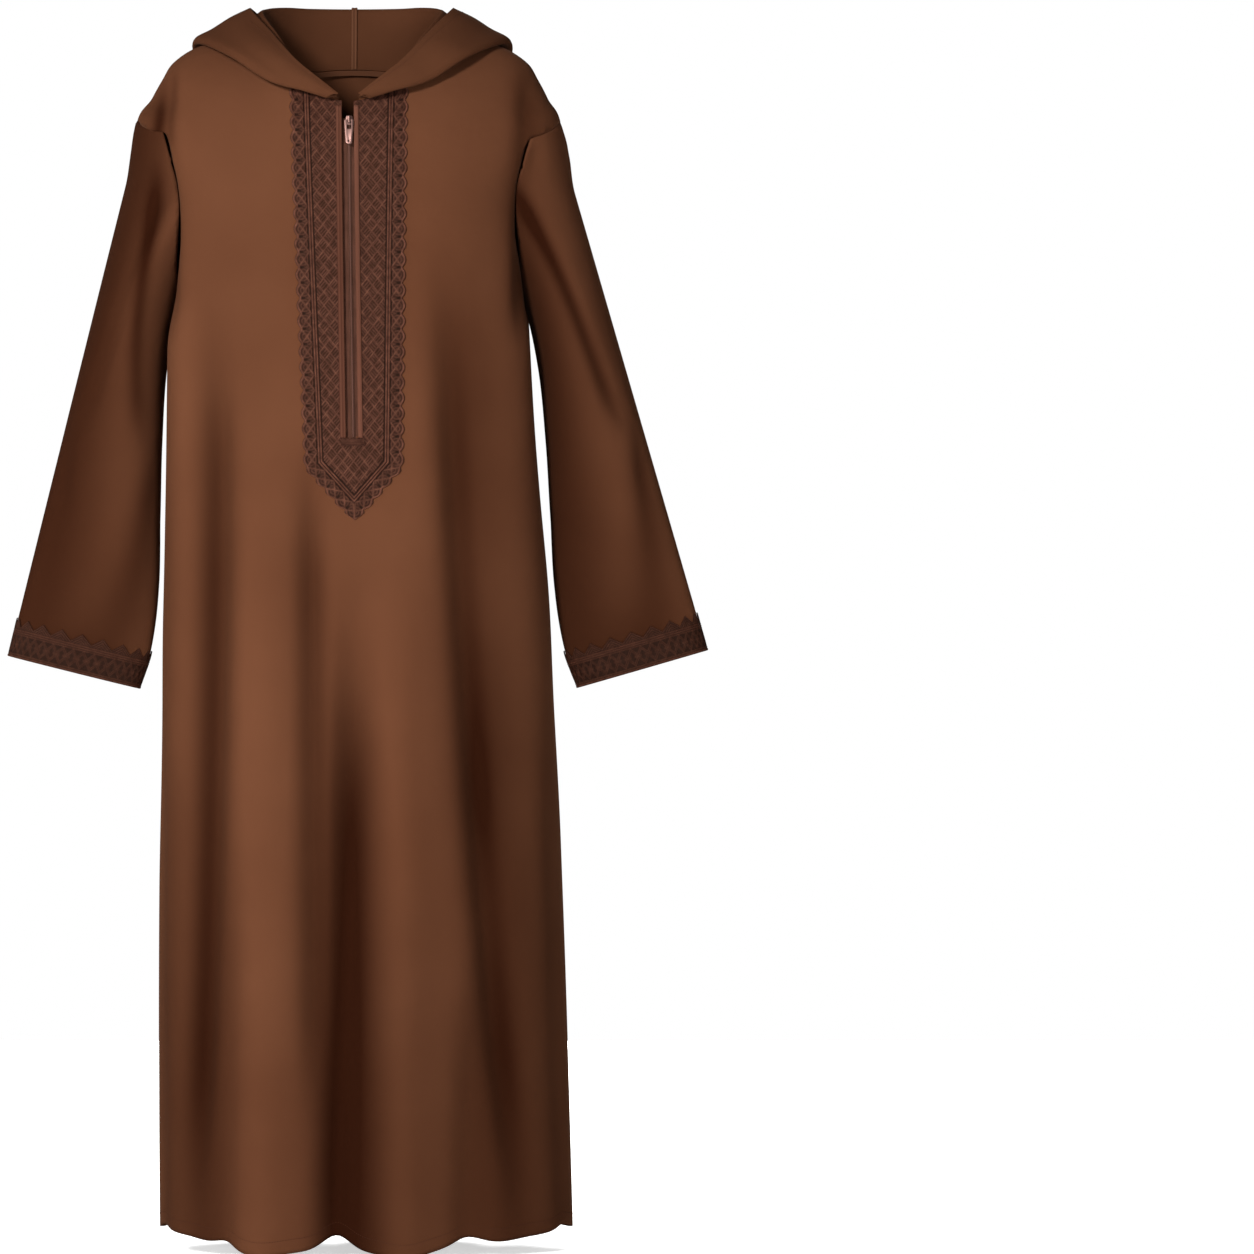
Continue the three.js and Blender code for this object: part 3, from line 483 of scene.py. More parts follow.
bodyFolds = [  # face, start and end across, bow, start and end in height, depth, half width
    ("front", -152, -188, 12, -230, -1400, -18, 19),
    ("front", -92, -106, 0, -380, -1900, 10, 34),
    ("front", -41, -38, 0, -420, -1250, -13, 15),
    ("front", 10, -34, 4, -560, -1900, -20, 22),
    ("front", 62, 68, 0, -470, -1900, 10, 30),
    ("front", 112, 210, -14, -180, -1400, -15, 19),
    ("front", 150, 225, -10, -180, -1400, -6, 40),
    ("front", 150, 128, 0, -1000, -1900, -11, 22),
    ("front", -134, -150, 0, -860, -1900, -6, 14),
    ("front", -192, -200, 0, -180, -900, 5, 18),
    ("front", -217, -208, 0, 4, -330, -10, 13),
    ("front", 209, 203, 0, 4, -340, -9, 13),
    ("back", 103, 184, -14, -270, -1500, -16, 19),
    ("back", -60, 0, -10, -240, -1700, -16, 20),
    ("back", -150, -192, 16, -140, -1400, -19, 19),
    ("back", 50, 84, 0, -330, -1900, 10, 34),
    ("back", 40, 30, 0, -820, -1900, -8, 17),
    ("back", 152, 216, 0, -300, -1400, 6, 26),
    ("back", -100, -92, 0, -260, -1500, 8, 26),
    ("left", -46, -40, 0, -700, -1900, -5, 26),
    ("left", 30, 42, 6, -620, -1900, 5, 28),
    ("right", -34, -44, 0, -640, -1900, -5, 28),
    ("right", 42, 50, -6, -700, -1900, 5, 26),
]
bodyPaintedShades = [  # painted shade where the cloth looks deeper than its folds are: the same columns
    ("front", -152, -170, 0, -280, -1900, -9, 27),
    ("front", -44, -20, 0, -400, -1500, -5, 22),
    ("front", 6, 26, 0, -640, -1900, -12, 34),
    ("front", 66, 70, 0, -880, -1900, -4.5, 40),
    ("front", 126, 150, 0, -180, -1000, -7, 30),
    ("front", 160, 198, 0, -520, -1900, -8, 42),
    ("front", -219, -218, 0, 20, -330, -13, 8),
    ("front", -204, -205, 0, 10, -110, -7, 5),
    ("front", -236, -236, 0, 70, -330, -9, 16),
    ("front", 206, 200, 0, 60, -330, -8, 18),
    ("front", 232, 232, 0, 70, -330, -4, 15),
    ("front", -150, -140, 0, 200, -560, -2, 60),
    ("front", 150, 150, 0, 200, -620, -3, 62),
    ("front", -206, -216, 0, -300, -1900, -5, 24),
    ("back", 0, 10, 0, -160, -1900, -4, 60),
    ("back", 170, 180, 0, -160, -1900, -6, 40),
    ("back", -190, -200, 0, -160, -1900, -8, 34),
]
search = {"halvings": 24, "widest": 1.3, "smallest": 0.05, "newtonRounds": 7, "frontRadius": 120.0}
# Painted shade: the share of the folds' depth, and the darkening of the lower cloth
paintedShadeShares = {"folds": 0.4, "low": -5.0, "lowFromZ": -700, "lowOver": 640}


def foldOffset(x, y, z, folds=bodyFolds):
    # Each fold is a Gaussian across its track, eased in and out along it, and fades round the side
    offset = np.zeros_like(x)
    inset = bodyCloth["sideInset"]
    outwards = {"front": -y, "back": y, "left": x - inset, "right": -x - inset}
    for face, topAt, lowAt, bow, topZ, lowZ, depth, width in folds:
        run = (topZ - z) / (topZ - lowZ)
        centre = topAt + (lowAt - topAt) * run + bow * 4 * run * (1 - run)
        away = ((y if face in ("left", "right") else x) - centre) / width
        facing = smooth(outwards[face] / bodyCloth["faceDepth"])
        offset += depth * eased(run) * facing * ridge(away)
    return offset


def bodyPaintedShade(points):
    # Painted shade: a share of the folds' own depth, the broad shades, and the lower cloth, which gets less
    # light
    x, y, z = np.moveaxis(points, -1, 0)
    low = paintedShadeShares["low"] * smooth((paintedShadeShares["lowFromZ"] - z) / paintedShadeShares["lowOver"])
    return paintedShadeShares["folds"] * foldOffset(x, y, z) + foldOffset(x, y, z, bodyPaintedShades) + low


def superellipse(angle, square):
    # Distance from the centre to a curve that is an ellipse at 2 and squarer above it
    return (np.abs(np.sin(angle))**square + np.abs(np.cos(angle))**square)**(-1 / square)


def outsideEllipse(x, y, reach, depth, square):
    # About how far a point lies outside a superellipse
    size = (np.abs(x / reach)**square + np.abs(y / depth)**square)**(1 / square)
    return (size - 1) * np.hypot(x, y) / np.maximum(size, search["smallest"])


def levelRow(level):
    return dict(zip(levelNames, np.moveaxis(between(bodyLevels, level), -1, 0)))


def bodyPoint(angle, level):
    # A level's superellipse, dipped from its side height to its centre height, tucked in behind the
    # sleeves and pushed along its own normal by the folds; the hem hangs lower under a ridge's back
    row = levelRow(level)
    aside, forward = np.sin(angle), np.cos(angle)
    square, tuck = row["square"], row["tuck"]
    reach = np.where(aside > 0, row["left"], row["right"]) + bodyCloth["tuckShare"] * tuck
    depth = np.where(forward > 0, row["front"], row["back"])
    radius = superellipse(angle, square)
    x, y = reach * radius * aside, -depth * radius * forward
    middle = np.where(forward > 0, row["fore"], row["rear"])
    z = middle + (row["side"] - middle) * np.abs(x / reach)**bodyCloth["levelDip"]
    arch = bodyCloth["neckArch"]
    nearNeck = smooth((level - arch["fromLevel"]) / arch["overLevels"]) * smooth(-forward * 2)
    z = z - arch["drop"] * nearNeck * ridge(np.abs(x) - arch["aside"], arch["width"])
    edgeX = np.abs(x / reach)**(square - 1) / reach
    edgeY = np.abs(y / depth)**(square - 1) / depth
    steep = np.hypot(edgeX, edgeY)
    offset = foldOffset(x, y, z)
    tucked = np.sign(aside) * tuck * ridge(y, bodyCloth["tuckSpread"])
    return np.stack([
        x - tucked + offset * np.sign(x) * edgeX / steep,
        y + offset * np.sign(y) * edgeY / steep,
        z - bodyCloth["hemSwing"] * offset * smooth(1 - level),
    ], -1)


def outsideBody(points, lift=0.0):
    # How far a point lies outside the body, whose level at the point is found by halving
    x, y, z = np.moveaxis(points, -1, 0)
    low, high = np.zeros_like(x), np.full_like(x, levelCount)
    for _ in range(search["halvings"]):
        level = (low + high) / 2
        row = levelRow(level)
        tucked = x + np.sign(x) * row["tuck"] * ridge(y, bodyCloth["tuckSpread"])
        reach = np.where(x > 0, row["left"], row["right"]) + bodyCloth["tuckShare"] * row["tuck"]
        middle = np.where(y < 0, row["fore"], row["rear"])
        dip = np.minimum(np.abs(tucked / reach), search["widest"])**bodyCloth["levelDip"]
        below = middle + (row["side"] - middle) * dip < z
        low, high = np.where(below, level, low), np.where(below, high, level)
    depth = np.where(y < 0, row["front"], row["back"])
    return outsideEllipse(tucked, y, reach, depth, row["square"]) - lift - foldOffset(x, y, z)


def levelAt(share):
    turn, pit = bodyCloth["armpitShare"], bodyCloth["armpitLevel"]
    return np.where(share < turn, pit * share / turn, pit + (levelCount - pit) * (share - turn) / (1 - turn))


def panelSurface(centre):
    half = np.pi / 2 - bodyCloth["gap"] / 2 / bodyCloth["sideReach"]
    return lambda a, b: bodyPoint(centre + (2 * a - 1) * half, levelAt(b))


# The sleeves

sleeveCloth = {"length": 676, "rows": 150, "columns": 96, "cutLift": -0.8}
# Painted shade on the sleeves: a share of their folds, the inner half towards the body, and all of it a
# little
sleevePaintedShades = {"folds": 2.2, "inner": -15.0, "innerFrom": 0.75, "innerOver": 1.5, "all": -2.0}
stationNames = ("down", "drawn", "width", "depth", "square")
sleeveStations = np.array([  # down the outer edge, how far it is drawn in, width, depth, squareness
    (0, 50, 92, 96, 2),
    (36, 0, 113, 122, 2),
    (110, 0, 106, 136, 2),
    (215, 0, 94, 152, 2),
    (300, 0, 98, 148, 2),
    (390, 0, 114, 136, 2.1),
    (480, 0, 134, 110, 2.2),
    (560, 0, 152, 80, 2.2),
    (630, 0, 160, 56, 2.2),
    (676, 0, 157, 42, 2.2),
], float)
sleeves = {
    "left": {"sign": 1, "topX": 228, "topZ": -30, "lean": 0.289},
    "right": {"sign": -1, "topX": 238, "topZ": -30, "lean": 0.249},
}
sleeveFolds = [  # turn in degrees at its start and end, start and end down the sleeve, depth, half width
    (-20, 40, 60, 420, -5, 15),
    (60, 10, 380, 760, -5, 16),
    (130, 165, 120, 520, -5, 16),
    (200, 130, 440, 800, -5, 18),
]


def stationAt(down):
    place = np.interp(down, sleeveStations[:, 0], np.arange(len(sleeveStations)))
    return dict(zip(stationNames, np.moveaxis(between(sleeveStations, place), -1, 0)))


def sleeveFoldOffset(angle, down, radius):
    offset = np.zeros_like(down)
    for topTurn, lowTurn, start, end, depth, width in sleeveFolds:
        run = (down - start) / (end - start)
        turn = np.radians(topTurn + (lowTurn - topTurn) * run)
        apart = angle - turn
        away = np.arctan2(np.sin(apart), np.cos(apart)) * radius / width
        offset += depth * eased(run) * ridge(away)
    return offset


def sleevePoint(sleeve, angle, down):
    # A superellipse across the sleeve, hung from its straight outer edge, which leans out
    row = stationAt(down)
    lean = np.arctan(sleeve["lean"])
    halfWidth, halfDepth = row["width"] / 2, row["depth"] / 2
    radius = superellipse(angle, row["square"])
    offset = sleeveFoldOffset(angle, down, halfDepth) * smooth(halfDepth / bodyCloth["faceDepth"])
    across = (halfWidth + offset) * radius * np.sin(angle) - halfWidth - row["drawn"]
    outX = sleeve["topX"] + down * np.sin(lean) + across * np.cos(lean)
    outZ = sleeve["topZ"] - down * np.cos(lean) + across * np.sin(lean)
    return np.stack([sleeve["sign"] * outX, -(halfDepth + offset) * radius * np.cos(angle), outZ], -1)


def sleeveSurface(sleeve):
    length, turn = sleeveCloth["length"], sleeve["sign"] * 2 * np.pi
    return lambda a, b: sleevePoint(sleeve, a * turn, length * (1 - b))


def outsideSleeve(sleeve):
    # How far a point lies outside the sleeve, in the sleeve's own turned frame
    lean = np.arctan(sleeve["lean"])

    def distance(points):
        x, y, z = np.moveaxis(points, -1, 0)
        aside, below = sleeve["sign"] * x - sleeve["topX"], z - sleeve["topZ"]
        down = aside * np.sin(lean) - below * np.cos(lean)
        row = stationAt(np.clip(down, 0, sleeveCloth["length"]))
        out = aside * np.cos(lean) + below * np.sin(lean) + row["width"] / 2 + row["drawn"]
        offset = sleeveFoldOffset(np.arctan2(out, -y), down, row["depth"] / 2)
        apart = outsideEllipse(out, y, row["width"] / 2, row["depth"] / 2, row["square"])
        return np.maximum(apart - offset, -down)
    return distance


armholeBlend = {"reach": 32.0, "topZ": -70.0, "lowZ": -215.0, "step": 0.5, "leastSteep": 0.2}


def blended(other):
    # Near the armhole a wall swells towards the one that it meets, by a quarter of the blend's reach where
    # they touch and less with the square of the distance, so that the seam lies in a smooth hollow
    reach, topZ, lowZ, step, least = armholeBlend.values()

    def offset(points, normal):
        value = other(points)
        slope = np.stack([other(points + step * axis) - value for axis in np.eye(3)], -1) / step
        steep = np.maximum(lengthOf(slope)[..., 0], least)
        near = np.clip(1 - np.maximum(value, 0) / steep / reach, 0, 1)
        way = normal * (1 - near / 2)[..., None] + slope / steep[..., None] * (near / 2)[..., None]
        way /= np.maximum(lengthOf(way), 0.5)
        high = smooth((points[..., 2] - lowZ) / (topZ - lowZ))
        return way * (reach / 4 * near**2 * high)[..., None]
    return offset


def outsideSlit(points):
    # How far a point lies outside the slit for the zip
    x, y, z = np.moveaxis(points, -1, 0)
    away = np.maximum(x - zipX(z) - zipLine["slit"][1], zipX(z) + zipLine["slit"][0] - x)
    return np.where((z > zipLine["endZ"]) & (y < 0), away, zipLine["endZ"] - z + 0.01)


def makeBody():
    holes = [outsideSleeve(sleeve) for sleeve in sleeves.values()]

    def outsideSleeves(points):
        return np.minimum(*(hole(points) for hole in holes))

    lifts = (-bodyCloth["wall"], 0.0)
    for side, centre, columns in (("front", 0, "frontColumns"), ("back", np.pi, "backColumns")):
        a, b = gridOf(bodyCloth[columns], bodyCloth["rows"])
        cuts = holes + ([outsideSlit] if side == "front" else [])
        piece = wallPiece(f"{side}Cloth", panelSurface(centre), a, b, lifts, "crepe", cuts,
                          paintedShade=bodyPaintedShade, blend=blended(outsideSleeves))
        standFor(f"{side}_panel")
    print("front and back made")


def makeSleeves():
    lifts = (-bodyCloth["wall"], 0.0)
    a, b = gridOf(sleeveCloth["columns"], sleeveCloth["rows"])

    def outside(points):
        return outsideBody(points, sleeveCloth["cutLift"])

    def paintedShade(base):
        # Painted shade: the folds and the half that hangs towards the body are the darkest
        angle, down = a * 2 * np.pi, sleeveCloth["length"] * (1 - b)
        folds = sleevePaintedShades["folds"] * sleeveFoldOffset(angle, down, stationAt(down)["depth"] / 2)
        turned = (sleevePaintedShades["innerFrom"] - np.sin(angle)) / sleevePaintedShades["innerOver"]
        return folds + sleevePaintedShades["inner"] * smooth(turned) + sleevePaintedShades["all"]

    for side, sleeve in sleeves.items():
        piece = wallPiece(f"{side}SleeveCloth", sleeveSurface(sleeve), a, b, lifts, "crepe", [outside],
                          ring=True, paintedShade=paintedShade, blend=blended(outsideBody))
        standFor(f"sleeve_{side}")
    print("sleeves made")


# The hood, worn down

hoodCloth = {
    "columns": 84,
    "rows": 170,
    "wall": 2.0,
    "seamGap": 0.9,
    "standRise": 5.0,
    "foldReach": 0.28,
    "topRadius": 4.5,
}
# Turn round the neck, then X, Y, Z of the stand's top, of the outer fold, of the face edge and of the
# puff between them, then the fold's radius
hoodStations = np.array([
    (8, 13, -102, -37, 24, -107, -40, 11, -112, -36, 1, -2, 1, 3.5),
    (26, 38, -94, -18, 53, -105, -31, 31, -107, -20, 1, -3, 1, 4),
    (45, 63, -75, 5, 93, -95, -19, 61, -93, 5, 1, -4, 2, 4.5),
    (66, 84, -46, 36, 139, -74, 11, 90, -62, 38, 2, -5, 3, 5),
    (88, 104, -4, 64, 183, 2, 31, 117, -16, 69, 1, -2, 3, 5.5),
    (110, 100, 38, 73, 180, 64, 3, 112, 38, 68, 5, 6, 4, 6.5),
    (128, 80, 68, 77, 156, 102, -52, 94, 84, 52, 9, 13, 5, 8),
    (146, 55, 84, 77, 117, 122, -112, 67, 116, 30, 9, 17, 5, 9),
    (163, 28, 91, 77, 62, 130, -160, 37, 135, 11, 4, 20, 3, 9),
    (180, 0, 93, 77, 0, 133, -184, 0, 140, 5, 0, 21, 2, 9),
], float)
hoodCentre = len(hoodStations) - 1
beyondCentre = hoodStations[hoodCentre - 1].copy()
beyondCentre[0] = 360 - beyondCentre[0]
beyondCentre[[1, 4, 7, 10]] *= -1
hoodStations = np.vstack([hoodStations, beyondCentre])


def neckEdge(angle, depth):
    # The body's top edge, moved into the cloth by a depth along its normal
    def surface(a, b):
        return bodyPoint(a, levelCount * b)
    top = np.ones_like(angle)
    return surface(angle, top) - normalsOf(surface, angle, top) * depth


def neckSeamPoint(turn):
    # The middle of the neck edge, moved on past it by the seam's gap
    angle = np.radians(turn)
    top = np.full_like(angle, levelCount)
    upward = unit(bodyPoint(angle, top) - bodyPoint(angle, top - 0.05))
    gap = hoodCloth["seamGap"] + hoodCloth["wall"] / 2 * (1 - np.abs(upward[..., 2:]))
    return neckEdge(angle, bodyCloth["wall"] / 2) + upward * gap


def roundedFold(before, corner, after, largest):
    # Three points that turn a sharp fold on a small radius
    back, on = before - corner, after - corner
    reach = hoodCloth["foldReach"]
    radius = np.minimum(largest, np.minimum(reach * lengthOf(back), reach * lengthOf(on)))
    back, on = unit(back), unit(on)
    inward, aside = unit(back + on) * radius, unit(on - back) * radius
    return [corner + inward - aside, corner, corner + inward + aside]


def centripetal(points, share):
    # A Catmull-Rom curve through points[..., k, :] whose knots are spaced by the root of their distance
    last = points.shape[-2] - 1
    padded = np.concatenate([2 * points[..., :1, :] - points[..., 1:2, :], points,
                             2 * points[..., -1:, :] - points[..., -2:-1, :]], -2)
    place = np.clip(share, 0, 1) * last
    low = np.clip(np.floor(place).astype(int), 0, last - 1)
    t = (place - low)[..., None]
    x0, x1, x2, x3 = (np.take_along_axis(padded, (low + k)[..., None, None], -2)[..., 0, :]
                      for k in range(4))
    d0, d1, d2 = (np.sqrt(np.maximum(lengthOf(q - p), 1e-8)) for p, q in ((x0, x1), (x1, x2), (x2, x3)))
    out1 = ((x1 - x0) / d0 - (x2 - x0) / (d0 + d1) + (x2 - x1) / d1) * d1
    out2 = ((x2 - x1) / d1 - (x3 - x1) / (d1 + d2) + (x3 - x2) / d2) * d1
    square = -3 * x1 + 3 * x2 - 2 * out1 - out2
    return x1 + t * (out1 + t * (square + t * (2 * x1 - 2 * x2 + out1 + out2)))


def hoodPoint(u, v):
    # u runs round the neck from the front to the centre back, v up the stand, over, down to the bag's
    # fold and back up to the face edge
    row = between(hoodStations, np.maximum(u, 0) * hoodCentre)
    seam = neckSeamPoint(row[..., 0])
    top, fold, edge, puff = (row[..., i:i + 3] for i in (1, 4, 7, 10))
    rise = np.minimum(hoodCloth["standRise"], hoodCloth["foldReach"] * lengthOf(top - seam))
    risen = seam + rise * np.array([0, 0, 1.0])
    under = [top + (fold - top) * k / 3 for k in (1, 2)]
    over = [fold + (edge - fold) * k / 3 + puff for k in (1, 2)]
    points = [
        seam, risen, (risen + top) / 2,
        *roundedFold(risen, top, under[0], hoodCloth["topRadius"]), *under,
        *roundedFold(under[1], fold, over[0], row[..., 13:]), *over, edge,
    ]
    return centripetal(np.stack(points, -2), v)


def hoodSurface(sign):
    # One half of the hood, moved off the centre plane by half the gap
    aside, mirrored = np.array([bodyCloth["gap"] / 2, 0, 0]), np.array([sign, 1, 1.0])
    return lambda a, b: (hoodPoint(a, b) + aside) * mirrored


def makeHood():
    a, b = gridOf(hoodCloth["columns"], hoodCloth["rows"])
    half = hoodCloth["wall"] / 2
    for side, sign in (("left", 1), ("right", -1)):
        piece = wallPiece(f"{side}HoodCloth", hoodSurface(sign), a, b, (-half, half), "hood")
        standFor(f"hood_{side}")
    print("hood made")


# The zip and what is sewn beside it

zipLine = {"topZ": -42, "endZ": -434, "lean": 0.0165, "slit": (-8.0, 5.5)}


def zipX(z):
    return -zipLine["lean"] * (z - zipLine["topZ"])


def levelOf(z):
    # The level whose centre front is at a height
    levels = np.linspace(0, levelCount, 2000)
    return np.interp(z, bodyPoint(0 * levels, levels)[:, 2], levels)


def frontAt(u, level, step=1e-4):
    # The front's point at an offset u from the zip's line, its angle found by Newton's rule
    angle = u / search["frontRadius"]
    for _ in range(search["newtonRounds"]):
        point, beside = bodyPoint(angle, level), bodyPoint(angle + step, level)
        miss = point[..., 0] - zipX(point[..., 2]) - u
        angle = angle - miss * step / (beside[..., 0] - point[..., 0])
    return bodyPoint(angle, level)


def stripSurface(strip):
    def pointAt(a, b):
        level = levelOf(strip["lowZ"] + (strip["topZ"] - strip["lowZ"]) * b)
        return frontAt(strip["near"] + (strip["far"] - strip["near"]) * a, level)
    return pointAt


def wave(value):
    return 0.5 + 0.5 * np.cos(2 * np.pi * value)


def roundOf(share):
    # The height of a half circle across a strip
    return np.sqrt(np.clip(1 - (2 * share - 1)**2, 0, 1))


def laid(thread, distance):
    # A thread of a height and a half width
    return thread[0] * ridge(distance, thread[1])


def zigzag(value):
    return np.abs((value % 1) * 2 - 1)


def twisted(run, aside):
    # The plies of a cord, which run slantwise across it
    return 0.8 + 0.2 * wave(run + aside / 1.8)


placket = {
    "columns": 144,
    "rows": 480,
    "topHalf": 65.0,
    "lowHalf": 54.0,
    "sideZ": -468.0,
    "tipZ": -529.0,
    "pitch": 17.75,
    "scallop": 4.0,
    "scallopBand": 13.0,
    "pointStart": 24,  # in scallops from the top
    "pointScallops": 5,
    "slitShare": 0.125,  # of the columns
    "slitEase": 24,
    "edgeRounds": 4,
    "lifts": (0.3, 1.3),
}
placketThreads = {  # threads as height and half width, places in from the base line
    "fanCentre": 4.5,
    "fanPitch": 3.3,
    "fan": 0.3,
    "crossed": (0.55, 1.1),
    "notch": (-0.3, 1.2),
    "notchEnd": 6,
    "edgeInset": 1.4,
    "edge": (0.55, 1.0),
    "cords": (14.6, 17.4),
    "cord": (0.75, 0.95),
    "cordPitch": 2.8,
    "grooveDepth": 0.3,
    "grooves": ((12.7, 0.7), (16.0, 0.6), (19.2, 0.7)),
    "latticeStart": 19.6,
    "lattice": 12.5,
    "lean": 0.8,
    "thread": (0.6, 1.0),
    "hatch": 2.9,
    "hatchHeight": 0.34,
    "hatchSlope": (0.75, 0.66),
}


def baseLine(z):
    # Half the placket's width where its straight sides or its pointed end would be without scallops
    low, tip = placket["sideZ"], placket["tipZ"]
    widening = (placket["topHalf"] - placket["lowHalf"]) / (zipLine["topZ"] - low)
    return placket["lowHalf"] + (z - low) * widening, placket["lowHalf"] * (z - tip) / (low - tip)


def placketEdge(u, z):
    # Distance in from the base line or the pointed end, whichever is nearer, and the run along it
    low, tip = placket["sideZ"], placket["tipZ"]
    slant = np.hypot(placket["lowHalf"], low - tip)
    side, point = baseLine(z)
    toSide, toPoint = side - np.abs(u), (point - np.abs(u)) * (low - tip) / slant
    down = ((placket["lowHalf"] - np.abs(u)) * placket["lowHalf"] + (low - z) * (low - tip)) / slant
    sideRun = (zipLine["topZ"] - z) / placket["pitch"]
    pointRun = placket["pointStart"] + down / slant * placket["pointScallops"]
    onPoint = toPoint < toSide
    return np.where(onPoint, toPoint, toSide), np.where(onPoint, pointRun, sideRun)


def placketHalf(z):
    # Where the scalloped edge runs: the base line and one half wave of a sine for each scallop
    low, tip = placket["sideZ"], placket["tipZ"]
    side, point = baseLine(z)
    base = np.maximum(np.minimum(side, point), 0.02)
    pointRun = placket["pointStart"] + placket["pointScallops"] * (low - z) / (low - tip)
    run = np.where(point < side, pointRun, (zipLine["topZ"] - z) / placket["pitch"])
    bulge = placket["scallop"] * np.abs(np.sin(np.pi * run))
    return base + bulge * np.where(point < side, np.minimum(1.0, base / 8) * 1.2, 1.0)


def embroidered(inward, run, across, up):
    # In each scallop two crossed threads over fans of arcs, then a twisted double cord between grooves,
    # then a lattice whose diamonds are hatched in turn to the left and the right
    pitch, band, sewn = placket["pitch"], placket["scallopBand"], placketThreads
    phase = run % 1
    fans = sewn["fan"] * wave(np.hypot((phase - 0.5) * pitch, inward - sewn["fanCentre"]) / sewn["fanPitch"])
    toThread = np.minimum(np.abs(inward - band * phase), np.abs(inward - band * (1 - phase)))
    crossed = laid(sewn["crossed"], toThread)
    notch = laid(sewn["notch"], np.minimum(phase, 1 - phase) * pitch) * (inward < sewn["notchEnd"])
    scallops = np.where(inward < band, np.maximum(fans, crossed) + notch, 0)
    bulge = placket["scallop"] * np.abs(np.sin(np.pi * run))
    edgeCord = laid(sewn["edge"], inward + bulge - sewn["edgeInset"])
    cords = sum(laid(sewn["cord"], inward - place) for place in sewn["cords"])
    cords *= twisted(run * pitch / sewn["cordPitch"], inward)
    grooves = -sewn["grooveDepth"] * sum(ridge(inward - place, width) for place, width in sewn["grooves"])
    size, lean = sewn["lattice"], sewn["lean"] * up
    right, left = (across + lean) / size, (across - lean) / size
    nearest = np.minimum(np.abs((right % 1) - 0.5), np.abs((left % 1) - 0.5)) * size
    tilt = np.where((np.floor(right + 0.5) + np.floor(left + 0.5)) % 2 < 1, 1.0, -1.0)
    aside, rise = sewn["hatchSlope"]
    slanted = wave((across * aside + tilt * up * rise) / sewn["hatch"])
    hatch = sewn["hatchHeight"] * slanted * smooth((nearest - 0.8) / 1.0)
    inside = smooth((inward - sewn["latticeStart"]) / 0.6)
    lattice = inside * np.maximum(laid(sewn["thread"], nearest), hatch)
    return scallops + edgeCord + cords + grooves + lattice


def makePlacket():
    neckZ = float(bodyPoint(np.zeros(1), np.full(1, float(levelCount)))[0, 2])
    cut = placket["slitShare"]

    def place(a, b):
        # The outer columns run from the slit to the scalloped edge, the middle ones across the slit
        level = levelOf(placket["tipZ"] + (neckZ - placket["tipZ"]) * b)
        z = bodyPoint(0 * level, level)[..., 2]
        share = 2 * a - 1
        for _ in range(placket["edgeRounds"]):
            half = placketHalf(z)
            ease = np.minimum(1.0, half / placket["slitEase"])
            right, left = zipLine["slit"][0] * ease, zipLine["slit"][1] * ease
            toRight = right + (share + cut) / (1 - cut) * (half + right)
            toLeft = left + (share - cut) / (1 - cut) * (half - left)
            inSlit = right + (share + cut) / (2 * cut) * (left - right)
            u = np.where(share < -cut, toRight, np.where(share > cut, toLeft, inSlit))
            z = frontAt(u, level)[..., 2]
        return frontAt(u, level)

    def relief(a, b, base):
        u, z = base[..., 0] - zipX(base[..., 2]), base[..., 2]
        inward, run = placketEdge(u, z)
        rim = np.minimum(np.minimum(a, 1 - a) * placket["columns"], b * placket["rows"])
        return embroidered(inward, run, u, z) * smooth(rim)

    a, b = gridOf(placket["columns"], placket["rows"])
    middleZ = place(a, b)[:, placket["columns"] // 2, 2]
    fromMiddle = np.abs(np.arange(placket["columns"]) + 0.5 - placket["columns"] / 2)
    inSlit = fromMiddle < placket["columns"] * cut / 2
    holes = ((middleZ[:-1] + middleZ[1:]) / 2 > zipLine["endZ"])[:, None] & inSlit[None, :]
    piece = wallPiece("placketEmbroidery", place, a, b, placket["lifts"], "embroidery", relief=relief,
                      holes=holes, backed=False)
    standFor("placket_trim")
    print("placket made")


strips = {  # offsets from the zip's line, heights, lifts from the panel, relief of the outer face
    "rightWelt": {"near": -15.0, "far": -8.2, "topZ": -50, "lowZ": -434, "lifts": (2.2, 3.1),
                  "grid": (14, 150), "finish": "welt", "node": "zip_welt_right", "slot": "crepe",
                  "relief": lambda a, b: 0.45 * ridge(a - 0.28, 0.2) + 0.3 * ridge(a - 0.78, 0.15)},
    "leftWelt": {"near": 5.7, "far": 11.5, "topZ": -50, "lowZ": -434, "lifts": (2.2, 2.4),
                 "grid": (14, 150), "finish": "welt", "node": "zip_welt_left", "slot": "crepe",
                 "relief": lambda a, b: 1.6 * roundOf(a)},
    "zipTape": {"near": -16.0, "far": 14.0, "topZ": -63, "lowZ": -444, "lifts": (-3.2, -2.5),
                "grid": (80, 90), "finish": "tape", "node": "zip_tape", "slot": "zip_cloth",
                "relief": lambda a, b: 0.3 * wave(a * 20)},
    "coilCord": {"near": -0.9, "far": 0.9, "topZ": -65, "lowZ": -433, "lifts": (-2.0, -0.3),
                 "grid": (6, 150), "finish": "coil", "node": None, "slot": "zip_teeth",
                 "relief": lambda a, b: 0.3 * roundOf(a)},
    "zipStop": {"near": -13.0, "far": 13.0, "topZ": -435, "lowZ": -443, "lifts": (2.2, 2.7),
                "grid": (104, 12), "finish": "embroidery", "node": "zip_stop", "slot": "embroidery",
                "relief": lambda a, b: 0.35 * wave(a * 20 + 0.35 * np.sin(9 * b)) + 0.15 * wave(b * 3)},
}


def makeStrips():
    for name, strip in strips.items():
        def relief(a, b, base, height=strip["relief"]):
            return height(a, b)
        piece = wallPiece(name, stripSurface(strip), *gridOf(*strip["grid"]), strip["lifts"], strip["finish"],
                          relief=relief)
        if strip["node"]:
            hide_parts(strip["node"])
    print("strips beside the zip made")


